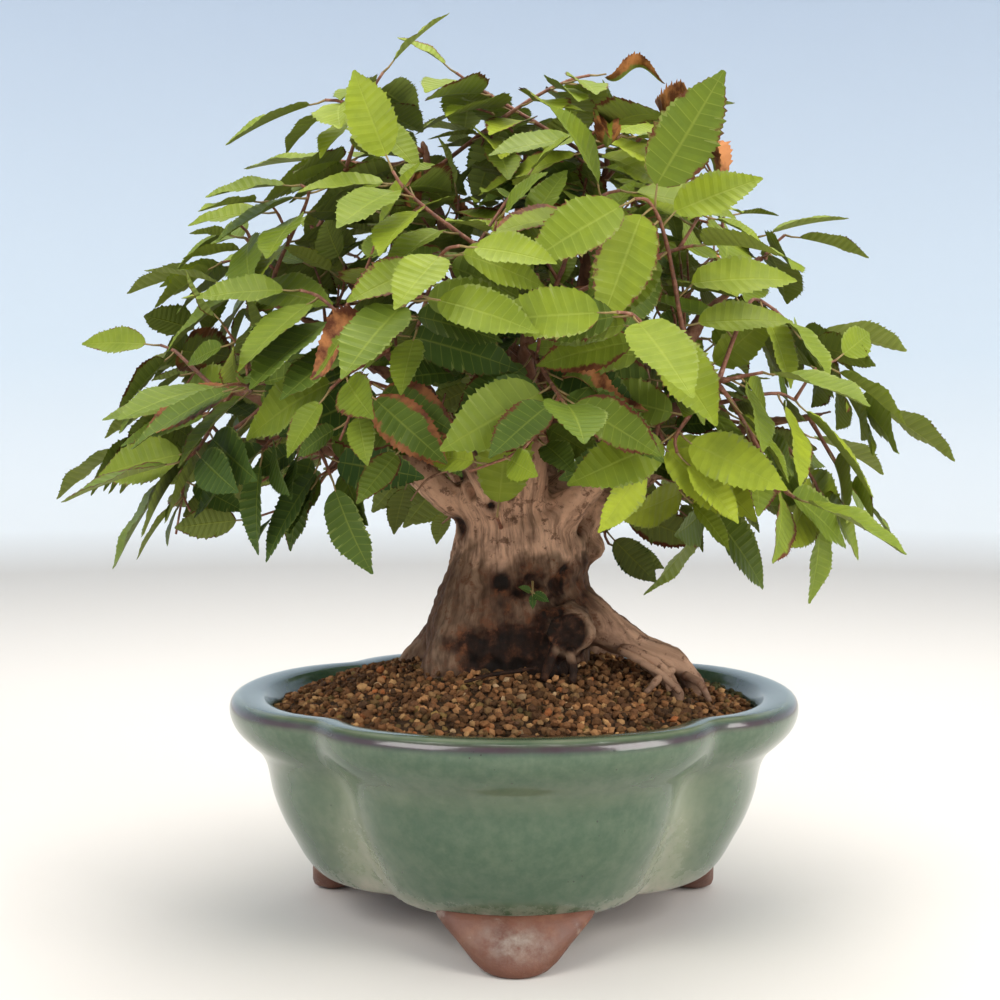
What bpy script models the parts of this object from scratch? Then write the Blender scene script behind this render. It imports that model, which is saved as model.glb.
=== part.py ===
# Korean hornbeam bonsai in a four-lobed glazed pot.
# Metres, +Z up, the camera side of the tree faces -Y. Lists of places are in millimetres.
import math
import random

import bmesh
import bpy
from mathutils import Matrix, Vector, noise
from mathutils.bvhtree import BVHTree

MM = 0.001
GAP = 0.35 * MM
SEED = 15
NOISE_SEED = 5

# Pot
TURN_STEPS = 48
PLAN_SQUEEZE = 0.975
# Groove between lobes: height, share of the radius, width; one row low on the wall and one at the rim
GROOVE_LOW = (12.0, 0.17, math.radians(15))
GROOVE_HIGH = (68.0, 0.08, math.radians(6.7))
GROOVE_SOFTNESS = 0.08
FLOOR_TOP = 19.0
FLOOR_UNDER = 11.2
WALL_PROFILE = [
    (79.5, 67.8), (88.5, 68.5), (90.2, 65.0), (88.4, 58.8), (81.6, 51.7), (78.6, 44.0),
    (76.4, 34.0), (71.8, 23.7), (67.0, 15.2), (62.5, FLOOR_UNDER), (0.0, FLOOR_UNDER),
]
INNER_PROFILE = [(0.0, FLOOR_TOP), (58.0, FLOOR_TOP), (67.5, 29.0), (71.0, 50.0)]
DRAIN_RADIUS = 12.0
DRILL_SIDES = 20
FOOT_REACH = 64.5
FOOT_SIDES = 14
FOOT_ANGLES = [-90.0, 22.0, 158.0]
# Half width, half depth, height and lean towards the middle, from the flat spot up
FOOT_RINGS = [
    (8.0, 6.5, -2.0, 0.0), (11.0, 8.0, 0.0, 1.0), (16.5, 9.0, 6.0, 3.5), (22.0, 10.0, 11.2, 9.0),
    (24.0, 10.0, 14.0, 11.0),
]

# Drain screen under the soil
SCREEN_SIDE = 34.0
SCREEN_THICK = 1.0
SCREEN_HOLE = 7.0
SCREEN_PITCH = 9.6
SCREEN_COUNT = 3

# Soil
SOIL_EDGE = (77.0, 64.0)
SOIL_RISE = 16.0
SOIL_RINGS = 8
SOIL_SLACK = 0.6
GRAIN_SIZE = 7.0
GRAIN_RELIEF = 1.1
# Distance of a grain's edge from its middle that the relief leaves level, as a share of the grain
GRAIN_LEVEL = 0.45
ROOT_SLACK = 0.62

# Wood: each limb is a list of x, y, z, radius
LIMBS = {
    "column": [(-3, 0, 50, 27), (-2, 0, 66, 28), (0, 0, 84, 25), (3, 0, 104, 21.5),
               (3, 1, 120, 20.5), (4, 2, 134, 14)],
    "flank_left": [(-1, -2, 122, 15.5), (-4.5, -3, 109, 15.5), (-9.5, -4, 99, 15),
                   (-14, -6, 88, 14), (-18, -9, 75, 11)],
    "crown_left": [(-4, -2, 112, 16), (-10, -3, 128, 10), (-15, -4, 138, 5)],
    "crown_right": [(10, 0, 114, 13), (16, -1, 130, 8.5), (22, -4, 142, 5)],
    "root_left": [(-8, 4, 96, 13), (-22, 10, 83, 9), (-33, 14, 73, 6.5), (-41, 17, 62, 4)],
    "root_left_web": [(-20, 7, 80, 9), (-28, 11, 70, 8), (-33, 14, 62, 7)],
    "root_left_front": [(-8, -6, 92, 15), (-18, -12, 77, 12), (-24, -16, 62, 9)],
    "root_right": [(12, -4, 96, 13), (24, -6, 91.5, 8.5), (35, -8, 86, 5.8), (44, -10, 82, 4.8),
                   (52, -12, 77.6, 4.3), (57, -13, 71, 3.8), (59, -13, 63, 3)],
    "root_right_fork": [(42, -11, 80, 4), (46, -18, 76, 3.2), (50, -24, 70, 2.8), (51, -27, 63, 2.4)],
    "root_front": [(6, -12, 86, 13), (10, -18, 76, 8), (12, -22, 64, 6)],
    "root_back_right": [(12, 10, 90, 13), (28, 24, 78, 8), (38, 34, 62, 5)],
    "root_back_left": [(-8, 12, 90, 13), (-22, 28, 78, 8), (-30, 38, 62, 5)],
    "scar_boss": [(12, -10, 91, 12), (15.5, -22, 90, 9), (16.5, -27, 89.6, 8.2)],
    "scar_root": [(12, -24, 84, 3), (10.5, -27.6, 78, 3.2), (9.3, -27, 72, 3.4), (9, -26, 64, 3.4)],
    "shoulder_boss": [(14, 4, 110, 10), (23, 5, 113, 7), (26.5, 5, 109.5, 5.2)],
    "left_low": [(-6, -2, 122, 9), (-22, -9, 132, 6.5), (-40, -18, 143, 5), (-58, -24, 152, 3.6),
                 (-78, -26, 160, 2.4), (-96, -24, 166, 1.8)],
    "left_back": [(-6, 6, 122, 8), (-30, 18, 134, 5), (-56, 28, 142, 3.4), (-84, 30, 148, 2.2),
                  (-98, 28, 150, 1.8)],
    "left_high": [(-8, 0, 128, 8), (-24, 2, 154, 5.4), (-40, 4, 182, 3.8), (-54, 4, 204, 2.6),
                  (-64, 2, 220, 1.8)],
    "middle_left": [(-2, 2, 128, 9), (-6, 0, 158, 6), (-14, -6, 190, 4.2), (-22, -10, 218, 3),
                    (-28, -10, 242, 1.9)],
    "middle_right": [(6, 4, 128, 9), (14, 6, 160, 6), (22, 4, 192, 4.2), (26, 2, 220, 2.8),
                     (28, 2, 242, 1.9)],
    "right_high": [(14, 0, 124, 9), (34, -6, 150, 6), (50, -12, 174, 4.2), (66, -12, 194, 2.8),
                   (78, -8, 206, 1.9)],
    "right_low": [(16, 2, 120, 8), (40, 2, 134, 5.2), (64, -2, 146, 3.8), (86, -6, 154, 2.6),
                  (102, -6, 158, 1.8)],
    "right_back": [(12, 8, 122, 8), (34, 28, 138, 5), (56, 44, 150, 3.6), (76, 54, 160, 2.2)],
    "back_high": [(2, 10, 126, 8), (2, 34, 156, 5), (-2, 54, 182, 3.6), (-4, 66, 204, 2.2)],
    "back_low": [(-4, 10, 122, 7), (-24, 38, 140, 4.4), (-40, 58, 152, 3), (-50, 72, 162, 2)],
    "front_left": [(-4, -10, 124, 7), (-16, -32, 148, 4.6), (-30, -50, 166, 3.2), (-40, -62, 178, 2)],
    "front_middle": [(4, -10, 130, 8), (6, -30, 158, 5), (4, -48, 178, 3.6), (2, -62, 194, 2.2)],
    "front_right": [(14, -10, 124, 7), (30, -34, 146, 4.6), (46, -50, 160, 3.2), (58, -58, 168, 2)],
    "top_fork": [(-6, 0, 158, 5), (-2, 8, 190, 3.8), (2, 14, 222, 2.8), (4, 16, 246, 1.9)],
    "left_fork": [(-24, 2, 154, 4.4), (-46, -10, 174, 3.2), (-68, -14, 188, 2.2), (-80, -14, 196, 1.8)],
    "right_fork": [(34, -6, 150, 4.4), (48, 10, 176, 3), (58, 22, 198, 2)],
    "back_fork": [(2, 34, 156, 4.4), (22, 52, 178, 3), (34, 62, 194, 2)],
    "stub_left": [(-8, -8, 124, 7), (-14, -16, 137, 5.5)],
    "stub_middle": [(4, -6, 126, 8), (3, -12, 142, 6)],
}
WOOD_VOXEL = 1.0 * MM
WOOD_TRIANGLES = 2120
# Sideways wander of thin limbs, its wavelength, and the radii at which it begins and is full
CROOK = 5.6
CROOK_SIZE = 20.0
CROOK_RADII = (9.0, 4.0)
PATH_PARTS = 4
SLIM = 0.72
SLIMMEST = 1.6
CROWN_START = (124.0, 136.0)
WOOD_FOOT = 50.0
FOOT_BLOCK = (300.0, 100.0)
HOLLOWS = [
    (-12, -17, 133, 4.5), (3, -14, 143, 4.5), (16.8, -38.5, 89.6, 7.2), (3, -27, 103, 6.5), (21, -14, 120, 4),
]
# Thickest wood that a twig may start from, and the lowest
PICK_LIMIT = 3.4
PICK_LOWEST = 128.0

# Leaves
LEAF_LENGTH = 32.0
LEAF_RANGE = (0.78, 1.08)
LEAF_WIDTH = 0.56
LEAF_THICK = 1.0
LEAF_FOLD = math.radians(17)
LEAF_DROOP = 0.13
LEAF_EDGE = [(0.10, 0.62), (0.35, 1.04), (0.41, 0.86), (0.65, 0.84), (0.71, 0.60)]
LEAF_HEART = 0.45
# Stalk length, and how far from the twig's middle line the shape that tests for room begins
STALK = 4.6
STALK_START = 0.5
TWIG_RADIUS = (1.15, 0.85)
# Leaves leave the twig in pairs: way back from the tip to the first pair, way between pairs, half a
# joint's length
PAIR_START = 7.5
PAIR_PITCH = 8.6
JOINT_HALF = 0.8
MOST_PAIRS = 5
# Room kept round a twig: clear of the wood, and clear of other twigs and leaves
TWIG_ROOM = (0.1, 0.45)
# Share of the twig's span by which its two ends pull it straight, and its sideways sway
TWIG_PULL = (0.35, 0.22)
TWIG_SWAY = 0.03
TURN_COST = 0.45
# Bare twig beside the limb, and the share of its first stretch that may lie close to the limb
ROOT_STRETCH = 3.0
ROOT_SHARE = 0.35
# Weight of outward beside 1 for up in a twig's own upper side, and how far outward is levelled
TWIG_UP = 0.6
OUTWARD_LEVEL = 0.8
STEEPEST = 0.9
# Weights of a blade's facing: up and chance, beside 1 for outward
FACE_UP = 0.3
FACE_CHANCE = 0.25
# Weights of a side leaf's way: along the twig, sideways, outward and down
SIDE_WAY = (0.22, 1.0, 0.28, 0.52)
# Swing of a leaf's aim at the first try and what each further try adds
AIM_SWING = (0.05, 0.06)
TRY_SHRINK = 0.02
# Wider and thicker leaf that keeps its neighbours clear
LEAF_ROOM = (1.08, 2.2)
# Least share of a leaf's way that points out of its side of the twig
LEAST_OUT = 0.15
TWIG_GAPS = [0.45, 0.6, 0.75, 0.95]
SPRAY_COUNT = 56
MOST_LEAVES = 362
TRIES = 14
# Places on the limbs passed over between two tries of a twig
SPOT_STEP = 2

# Sprays seen in the photograph: stalk end and tip of the leaf that ends each twig
SEEN_SPRAYS = [
    ((-40.6, -10, 262.4), (-26.0, -12, 279.5)), ((-56.5, -30, 250.0), (-83.0, -32, 242.3)),
    ((-34.3, -62, 224.2), (-44.9, -58, 249.1)), ((-63.4, -35, 224.2), (-86.5, -37, 222.7)),
    ((-84.6, -30, 194.7), (-105.5, -32, 200.3)), ((-110.5, -10, 178.2), (-131.4, -8, 179.8)),
    ((-119.8, -5, 148.5), (-142.8, -3, 133.9)), ((-102.7, -20, 142.0), (-125.4, -22, 116.4)),
    ((-74.5, -40, 146.1), (-78.3, -42, 120.1)), ((-54.0, -45, 138.9), (-46.2, -47, 113.4)),
    ((-50.7, -75, 163.4), (-60.3, -79, 149.5)), ((-41.6, -80, 163.7), (-21.4, -84, 147.7)),
    ((37.0, -70, 145.9), (26.6, -74, 127.3)), ((44.3, -72, 146.0), (58.1, -76, 130.8)),
    ((58.7, -20, 124.0), (44.9, -22, 103.1)), ((46.7, -20, 244.4), (65.6, -24, 224.8)),
    ((29.2, -60, 219.2), (57.2, -64, 215.1)), ((65.5, -10, 218.5), (78.1, -10, 210.8)),
    ((85.1, -5, 212.9), (107.2, -5, 208.2)), ((101.7, -10, 178.2), (109.8, -12, 156.4)),
    ((112.3, 0, 160.2), (138.7, 0, 147.5)), ((82.4, -40, 160.8), (104.1, -44, 137.8)),
    ((92.0, -30, 130.8), (92.3, -32, 104.2)), ((106.8, -15, 132.0), (117.3, -17, 119.3)),
    ((49.7, 10, 252.0), (66.6, 12, 257.7)), ((-18.3, 5, 265.3), (-32.3, 5, 275.6)),
    ((70.2, -50, 189.3), (79.0, -56, 169.3)), ((-14.9, -88, 200.8), (5.5, -98, 198.2)),
    ((-24.6, -90, 187.4), (0.8, -100, 180.1)), ((26.1, -92, 183.2), (-3.1, -97, 181.2)),
    ((31.8, -78, 214.4), (6.7, -90, 201.3)), ((-61.2, -55, 191.8), (-85.3, -60, 190.6)),
    ((23.7, -5, 262.5), (42.2, -5, 264.4)), ((-83.7, -20, 214.2), (-101.4, -20, 205.7)),
    ((-111.7, 10, 162.9), (-124.8, 12, 143.1)), ((32.9, 36, 112.3), (48.1, 38, 106.4)),
]
SPROUT = ((-5.3, -34, 125.8), (-0.7, -37, 158.2))
SPROUT_PAIRS = 0
SPROUT_SPOTS = [(Vector((-3, -4, 118)), Vector((0, -1, 0.2)))]

# Rounded crown that the other sprays fill
CROWN_CENTRE = (-3.0, 2.0, 150.0)
CROWN_HALF = (112.0, 92.0, 106.0)
CROWN_LOWEST = -0.2
FILL_POINTS = 76
FILL_SPACING = 23.0
# Share of the crown's slope that a fill spray's end leaf follows, and how far it hangs
FILL_LEAN = (0.35, 0.22)


def collection(name):
    made = bpy.data.collections.new(name)
    bpy.context.scene.collection.children.link(made)
    return made


def material(name, colour, roughness):
    made = bpy.data.materials.new(name)
    made.use_nodes = True
    shader = made.node_tree.nodes["Principled BSDF"]
    shader.inputs["Base Color"].default_value = (*colour, 1.0)
    shader.inputs["Roughness"].default_value = roughness
    return made


def new_object(name, mesh, home, finish=None):
    made = bpy.data.objects.new(name, mesh)
    home.objects.link(made)
    if finish:
        mesh.materials.clear()
        mesh.materials.append(finish)
    return made


def bake(thing):
    # Turns an object with modifiers into a plain mesh in world space
    bpy.context.view_layer.update()
    seen = thing.evaluated_get(bpy.context.evaluated_depsgraph_get())
    mesh = bpy.data.meshes.new_from_object(seen)
    mesh.transform(thing.matrix_world)
    name, home = thing.name, thing.users_collection[0]
    finish = thing.active_material
    bpy.data.objects.remove(thing)
    return new_object(name, mesh, home, finish)


def lobe_scale(angle, height):
    # Share of the round radius left at an angle, with a soft groove between each two lobes
    off = (angle - math.pi / 4) % (math.pi / 2)
    off = min(off, math.pi / 2 - off)
    rounded = math.sqrt(off * off + GROOVE_SOFTNESS ** 2) - GROOVE_SOFTNESS
    share = max(0.0, min(1.0, (height - GROOVE_LOW[0]) / (GROOVE_HIGH[0] - GROOVE_LOW[0])))
    depth, width = (low + (high - low) * share for low, high in zip(GROOVE_LOW[1:], GROOVE_HIGH[1:]))
    return 1 - depth * math.exp(-rounded / width)


def turned(name, profile, home, finish):
    # A closed turned body, then pressed into the four-lobed plan
    mesh = bpy.data.meshes.new(name)
    points = [(r * MM, 0, z * MM) for r, z in profile]
    mesh.from_pydata(points, [(i, i + 1) for i in range(len(points) - 1)], [])
    thing = new_object(name, mesh, home, finish)
    screw = thing.modifiers.new("turn", "SCREW")
    screw.steps = screw.render_steps = TURN_STEPS
    screw.use_merge_vertices = True
    screw.merge_threshold = 0.00005
    thing = bake(thing)
    for vertex in thing.data.vertices:
        scale = lobe_scale(math.atan2(vertex.co.y, vertex.co.x), vertex.co.z / MM)
        vertex.co.x *= scale
        vertex.co.y *= scale * PLAN_SQUEEZE
    return thing


def boolean(thing, operation, other=None, group=None, solver="EXACT"):
    step = thing.modifiers.new(operation.lower(), "BOOLEAN")
    step.operation = operation
    step.solver = solver
    if group:
        step.operand_type = "COLLECTION"
        step.collection = group
    else:
        step.object = other
    return bake(thing)


def primitive(name, home, maker, place, **sizes):
    # A bmesh primitive moved by a matrix
    work = bmesh.new()
    maker(work, matrix=place, **sizes)
    mesh = bpy.data.meshes.new(name)
    work.to_mesh(mesh)
    work.free()
    return new_object(name, mesh, home)


def drop(things):
    for thing in list(things):
        bpy.data.objects.remove(thing)


def make_foot(name, angle, home):
    # A flared foot that narrows to a small flat spot
    turn = math.radians(angle)
    centre = Vector((FOOT_REACH * math.cos(turn), FOOT_REACH * math.sin(turn), 0)) * MM
    work = bmesh.new()
    loops = []
    for wide, deep, height, lean in FOOT_RINGS:
        loop = []
        for i in range(FOOT_SIDES):
            a = 2 * math.pi * i / FOOT_SIDES
            out, along = deep * math.cos(a) - lean, wide * math.sin(a)
            x = out * math.cos(turn) - along * math.sin(turn)
            y = out * math.sin(turn) + along * math.cos(turn)
            loop.append(work.verts.new(centre + Vector((x, y, height)) * MM))
        loops.append(loop)
    for low, high in zip(loops, loops[1:]):
        for i in range(FOOT_SIDES):
            j = (i + 1) % FOOT_SIDES
            work.faces.new((low[i], low[j], high[j], high[i]))
    work.faces.new(reversed(loops[0]))
    work.faces.new(loops[-1])
    mesh = bpy.data.meshes.new(name)
    work.to_mesh(mesh)
    work.free()
    return new_object(name, mesh, home)


def make_pot(parts, cutters, finish):
    profile = INNER_PROFILE + WALL_PROFILE
    pot = turned("pot", profile, parts, finish)
    feet = collection("feet")
    for i, angle in enumerate(FOOT_ANGLES):
        make_foot(f"foot_{i}", angle, feet)
    pot = boolean(pot, "UNION", group=feet)
    drop(feet.objects)
    bpy.data.collections.remove(feet)
    middle = Matrix.Translation((0, 0, (FLOOR_TOP + FLOOR_UNDER) / 2 * MM))
    reach = 3 * (FLOOR_TOP - FLOOR_UNDER) * MM
    drill = primitive("drill", cutters, bmesh.ops.create_cone, middle, segments=DRILL_SIDES, cap_ends=True,
                      radius1=DRAIN_RADIUS * MM, radius2=DRAIN_RADIUS * MM, depth=reach)
    pot = boolean(pot, "DIFFERENCE", drill)
    drop([drill])
    return pot


def make_screen(parts, finish):
    # Flat plastic mesh over the drain hole
    height = FLOOR_TOP * MM + GAP + SCREEN_THICK / 2 * MM
    plate = primitive("drain_screen", parts, bmesh.ops.create_cube,
                      Matrix.Translation((0, 0, height)) @ Matrix.Diagonal(
                          (SCREEN_SIDE * MM, SCREEN_SIDE * MM, SCREEN_THICK * MM, 1)), size=1)
    plate.data.materials.append(finish)
    punches = collection("punches")
    for i in range(SCREEN_COUNT):
        for j in range(SCREEN_COUNT):
            x = (i - (SCREEN_COUNT - 1) / 2) * SCREEN_PITCH * MM
            y = (j - (SCREEN_COUNT - 1) / 2) * SCREEN_PITCH * MM
            place = Matrix.Translation((x, y, height)) @ Matrix.Diagonal(
                (SCREEN_HOLE * MM, SCREEN_HOLE * MM, 5 * SCREEN_THICK * MM, 1))
            primitive(f"punch_{i}_{j}", punches, bmesh.ops.create_cube, place, size=1)
    plate = boolean(plate, "DIFFERENCE", group=punches)
    drop(punches.objects)
    bpy.data.collections.remove(punches)
    return plate


def soil_height(r):
    edge, level = SOIL_EDGE
    return level + SOIL_RISE * (1 - (r / edge) ** 2)


def make_soil(parts, cutters, finish, wood):
    # Packed grains: the pot's inner wall less the slack, a mounded top with grains as relief
    edge = SOIL_EDGE[0]
    top = [(edge * i / SOIL_RINGS, soil_height(edge * i / SOIL_RINGS)) for i in range(SOIL_RINGS + 1)]
    side = [(r - SOIL_SLACK, z) for r, z in reversed(INNER_PROFILE[2:])]
    under = FLOOR_TOP + GAP / MM
    base = [(INNER_PROFILE[1][0] - SOIL_SLACK, under), (0, under)]
    soil = turned("soil", top + side + base, parts, finish)
    for vertex in soil.data.vertices:
        x, y, z = vertex.co / MM
        r = math.hypot(x, y)
        if z > SOIL_EDGE[1] - 1 and r > 1:
            cell = noise.voronoi(Vector((x, y, 0)) / GRAIN_SIZE)[0][0]
            vertex.co.z += (GRAIN_LEVEL - cell) * 2 * GRAIN_RELIEF * MM
    side_length = (SCREEN_SIDE + 1) * MM
    pocket = primitive("pocket", cutters, bmesh.ops.create_cube,
                       Matrix.Translation((0, 0, FLOOR_TOP * MM)) @ Matrix.Diagonal(
                           (side_length, side_length, 2 * (SCREEN_THICK * MM + 2 * GAP), 1)), size=1)
    soil = boolean(soil, "DIFFERENCE", pocket)
    hole = new_object("root_hole", wood.data.copy(), cutters)
    swell = hole.modifiers.new("swell", "DISPLACE")
    swell.mid_level = 0
    swell.strength = ROOT_SLACK * MM
    hole = bake(hole)
    soil = boolean(soil, "DIFFERENCE", hole)
    drop([pocket, hole])
    return soil


def smooth_path(points, parts_each):
    # Catmull-Rom points through a list of vectors of any length
    ends = [tuple(2 * a - b for a, b in zip(points[0], points[1]))] + list(points)
    ends.append(tuple(2 * a - b for a, b in zip(points[-1], points[-2])))
    path = []
    for i in range(1, len(ends) - 2):
        p0, p1, p2, p3 = ends[i - 1:i + 3]
        for step in range(parts_each):
            t = step / parts_each
            path.append([
                0.5 * (2 * b + (c - a) * t + (2 * a - 5 * b + 4 * c - d) * t * t
                       + (3 * b - a - 3 * c + d) * t ** 3)
                for a, b, c, d in zip(p0, p1, p2, p3)])
    path.append(list(points[-1]))
    return path


def limb_path(points):
    # The limb's smooth line, made crooked where the wood is thin
    path = []
    low, high = CROWN_START
    thick, thin = CROOK_RADII
    for x, y, z, radius in smooth_path(points, PATH_PARTS):
        share = max(0.0, min(1.0, (z - low) / (high - low)))
        bend = CROOK * max(0.0, min(1.0, (thick - radius) / (thick - thin))) * share
        sway = noise.noise_vector(Vector((x, y, z)) / CROOK_SIZE) * bend
        slim = max(SLIMMEST, radius * (1 - (1 - SLIM) * share))
        path.append((x + sway.x, y + sway.y, z + sway.z, slim))
    return path


def limb_mesh(name, points, home):
    curve = bpy.data.curves.new(name, "CURVE")
    curve.dimensions = "3D"
    curve.bevel_depth = MM
    curve.bevel_resolution = 3
    curve.use_fill_caps = True
    path = limb_path(points)
    spline = curve.splines.new("POLY")
    spline.points.add(len(path) - 1)
    for spot, (x, y, z, radius) in zip(spline.points, path):
        spot.co = (x * MM, y * MM, z * MM, 1)
        spot.radius = radius
    return bake(new_object(name, curve, home))


def make_wood(parts, cutters, finish):
    # Trunk, surface roots and branches, grown together by remeshing all limbs as one
    made = [limb_mesh(name, points, cutters) for name, points in LIMBS.items()]
    work = bmesh.new()
    for thing in made:
        work.from_mesh(thing.data)
    bmesh.ops.remove_doubles(work, verts=work.verts, dist=1e-7)
    mesh = bpy.data.meshes.new("wood")
    work.to_mesh(mesh)
    work.free()
    drop(made)
    wood = new_object("wood", mesh, parts, finish)
    remesh = wood.modifiers.new("grow", "REMESH")
    remesh.mode = "VOXEL"
    remesh.voxel_size = WOOD_VOXEL
    soften = wood.modifiers.new("soften", "SMOOTH")
    soften.factor = 0.5
    soften.iterations = 3
    wood = bake(wood)
    for i, (x, y, z, radius) in enumerate(HOLLOWS):
        ball = primitive(f"hollow_{i}", cutters, bmesh.ops.create_icosphere,
                         Matrix.Translation(Vector((x, y, z)) * MM), subdivisions=2, radius=radius * MM)
        wood = boolean(wood, "DIFFERENCE", ball)
        drop([ball])
    side, height = FOOT_BLOCK
    block = primitive("foot_block", cutters, bmesh.ops.create_cube,
                      Matrix.Translation((0, 0, (WOOD_FOOT - height / 2) * MM)) @ Matrix.Diagonal(
                          (side * MM, side * MM, height * MM, 1)), size=1)
    wood = boolean(wood, "DIFFERENCE", block)
    drop([block])
    count = sum(len(face.vertices) - 2 for face in wood.data.polygons)
    shrink = wood.modifiers.new("simplify", "DECIMATE")
    shrink.ratio = WOOD_TRIANGLES / count
    shrink.use_collapse_triangulate = True
    return bake(wood)


def leaf_shape(length, spread=1.0, thicken=1.0):
    # A folded, drooping leaf with a toothed edge, from its stalk end at the start to its tip along +X
    half = length * LEAF_WIDTH / 2
    thick = LEAF_THICK / 2 * thicken

    def lift(t, across):
        return abs(across) * math.tan(LEAF_FOLD) - LEAF_DROOP * length * t * t

    edge = [(STALK_START - STALK, 0.0, 0.0)]
    right = [(t * length, w * half) for t, w in LEAF_EDGE]
    for x, y in right:
        edge.append((x, -y * spread, lift(x / length, y * spread)))
    edge.append((length, 0.0, lift(1.0, 0.0)))
    for x, y in reversed(right):
        edge.append((x, y * spread, lift(x / length, y * spread)))
    level = lift(LEAF_HEART, 0.0)
    points = edge + [(LEAF_HEART * length, 0.0, level + thick), (LEAF_HEART * length, 0.0, level - thick)]
    count = len(edge)
    faces = []
    for i in range(count):
        j = (i + 1) % count
        faces.append((i, j, count))
        faces.append((j, i, count + 1))
    return [Vector(p) for p in points], faces


def leaf_frame(base, direction, up):
    side = up.cross(direction).normalized()
    normal = direction.cross(side).normalized()
    frame = Matrix((direction.normalized(), side, normal)).transposed().to_4x4()
    frame.translation = base
    return frame


def placed(shape, frame):
    points, faces = shape
    return [frame @ p for p in points], faces


def tree_of(shape):
    return BVHTree.FromPolygons(shape[0], shape[1])


def blade_only(shape):
    # The leaf without the faces that run down to its stalk end
    points, faces = shape
    return points, [face for face in faces if 0 not in face]


def bounds_of(points):
    low = Vector(map(min, zip(*points)))
    high = Vector(map(max, zip(*points)))
    return low, high


class Space:
    # What already stands in the crown, by owner
    def __init__(self):
        self.taken = []

    def add(self, owner, shape):
        self.taken.append((owner, bounds_of(shape[0]), tree_of(shape)))

    def clear(self, owners, shape):
        # Whether a shape meets nothing that stands there already, its own owners' things apart
        low, high = bounds_of(shape[0])
        tree = None
        for other, (other_low, other_high), other_tree in self.taken:
            if other in owners:
                continue
            if any(low[k] > other_high[k] or high[k] < other_low[k] for k in range(3)):
                continue
            tree = tree or tree_of(shape)
            if tree.overlap(other_tree):
                return False
        return True


def section(path, index, up):
    # A twig's three corners round a point of its path: one up, two below it to the sides
    last = len(path) - 1
    along = (path[min(index + 1, last)] - path[max(index - 1, 0)]).normalized()
    over = (up - along * up.dot(along)).normalized()
    side = along.cross(over)
    angles = (0, 2 * math.pi / 3, 4 * math.pi / 3)
    return [over * math.cos(a) + side * math.sin(a) for a in angles]


def tube(path, radii, up):
    # A slim tapering three-sided stem as points and triangles
    points, faces = [], []
    for i, spot in enumerate(path):
        points.extend(spot + corner * radii[i] for corner in section(path, i, up))
    last = len(path) - 1
    for i in range(last):
        for k in range(3):
            j = (k + 1) % 3
            low, high = 3 * i, 3 * i + 3
            faces.append((low + k, low + j, high + j))
            faces.append((low + k, high + j, high + k))
    faces.append((2, 1, 0))
    faces.append((3 * last, 3 * last + 1, 3 * last + 2))
    return points, faces


def joined(points, ring, mouth):
    # Skin between the twig's opened side, three or four points, and the leaf's mouth of four, with
    # each pair of them turned to lie best over one another
    def middle(loop):
        return sum((points[i] for i in loop), Vector()) / len(loop)

    way = (middle(mouth) - middle(ring)).normalized()

    def bearing(spot, centre):
        flat = spot - centre
        return (flat - way * flat.dot(way)).normalized()

    def sense(loop):
        return sum((points[a] - middle(loop)).cross(points[b] - middle(loop)).dot(way)
                   for a, b in zip(loop, loop[1:] + loop[:1]))

    if sense(ring) * sense(mouth) < 0:
        mouth = mouth[::-1]
    best = (-math.inf, [], [])
    for i in range(len(ring)):
        for j in range(4):
            here, there = ring[i:] + ring[:i], mouth[j:] + mouth[:j]
            # Four points: an edge lies over a point of the mouth; three: a corner does
            spot = (points[here[0]] + points[here[1]]) / 2 if len(ring) == 4 else points[here[0]]
            match = bearing(spot, middle(ring)).dot(bearing(points[there[0]], middle(mouth)))
            best = max(best, (match, here, there), key=lambda item: item[0])
    match, here, there = best
    if len(ring) == 4:
        faces = []
        for k in range(4):
            n = (k + 1) % 4
            faces.append((here[k], here[n], there[k]))
            faces.append((here[n], there[n], there[k]))
        return faces
    return [(here[0], there[0], there[1]), (here[0], there[3], there[0]), (here[0], here[1], there[1]),
            (here[0], there[3], here[2]), (here[1], there[2], there[1]), (here[1], here[2], there[2]),
            (here[2], there[3], there[2])]


def chance(draw):
    return Vector([draw.uniform(-1, 1) for _ in range(3)])


def bezier(a, b, c, d, t):
    s = 1 - t
    return a * s ** 3 + b * 3 * s * s * t + c * 3 * s * t * t + d * t ** 3


def limb_spots():
    # Places on the thinner limbs where a twig may start, with the way the limb grows
    spots = []
    for points in LIMBS.values():
        path = limb_path(points)
        for a, b in zip(path, path[1:]):
            if a[3] < PICK_LIMIT and a[2] > PICK_LOWEST:
                spots.append((Vector(a[:3]), (Vector(b[:3]) - Vector(a[:3])).normalized()))
    return spots


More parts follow.
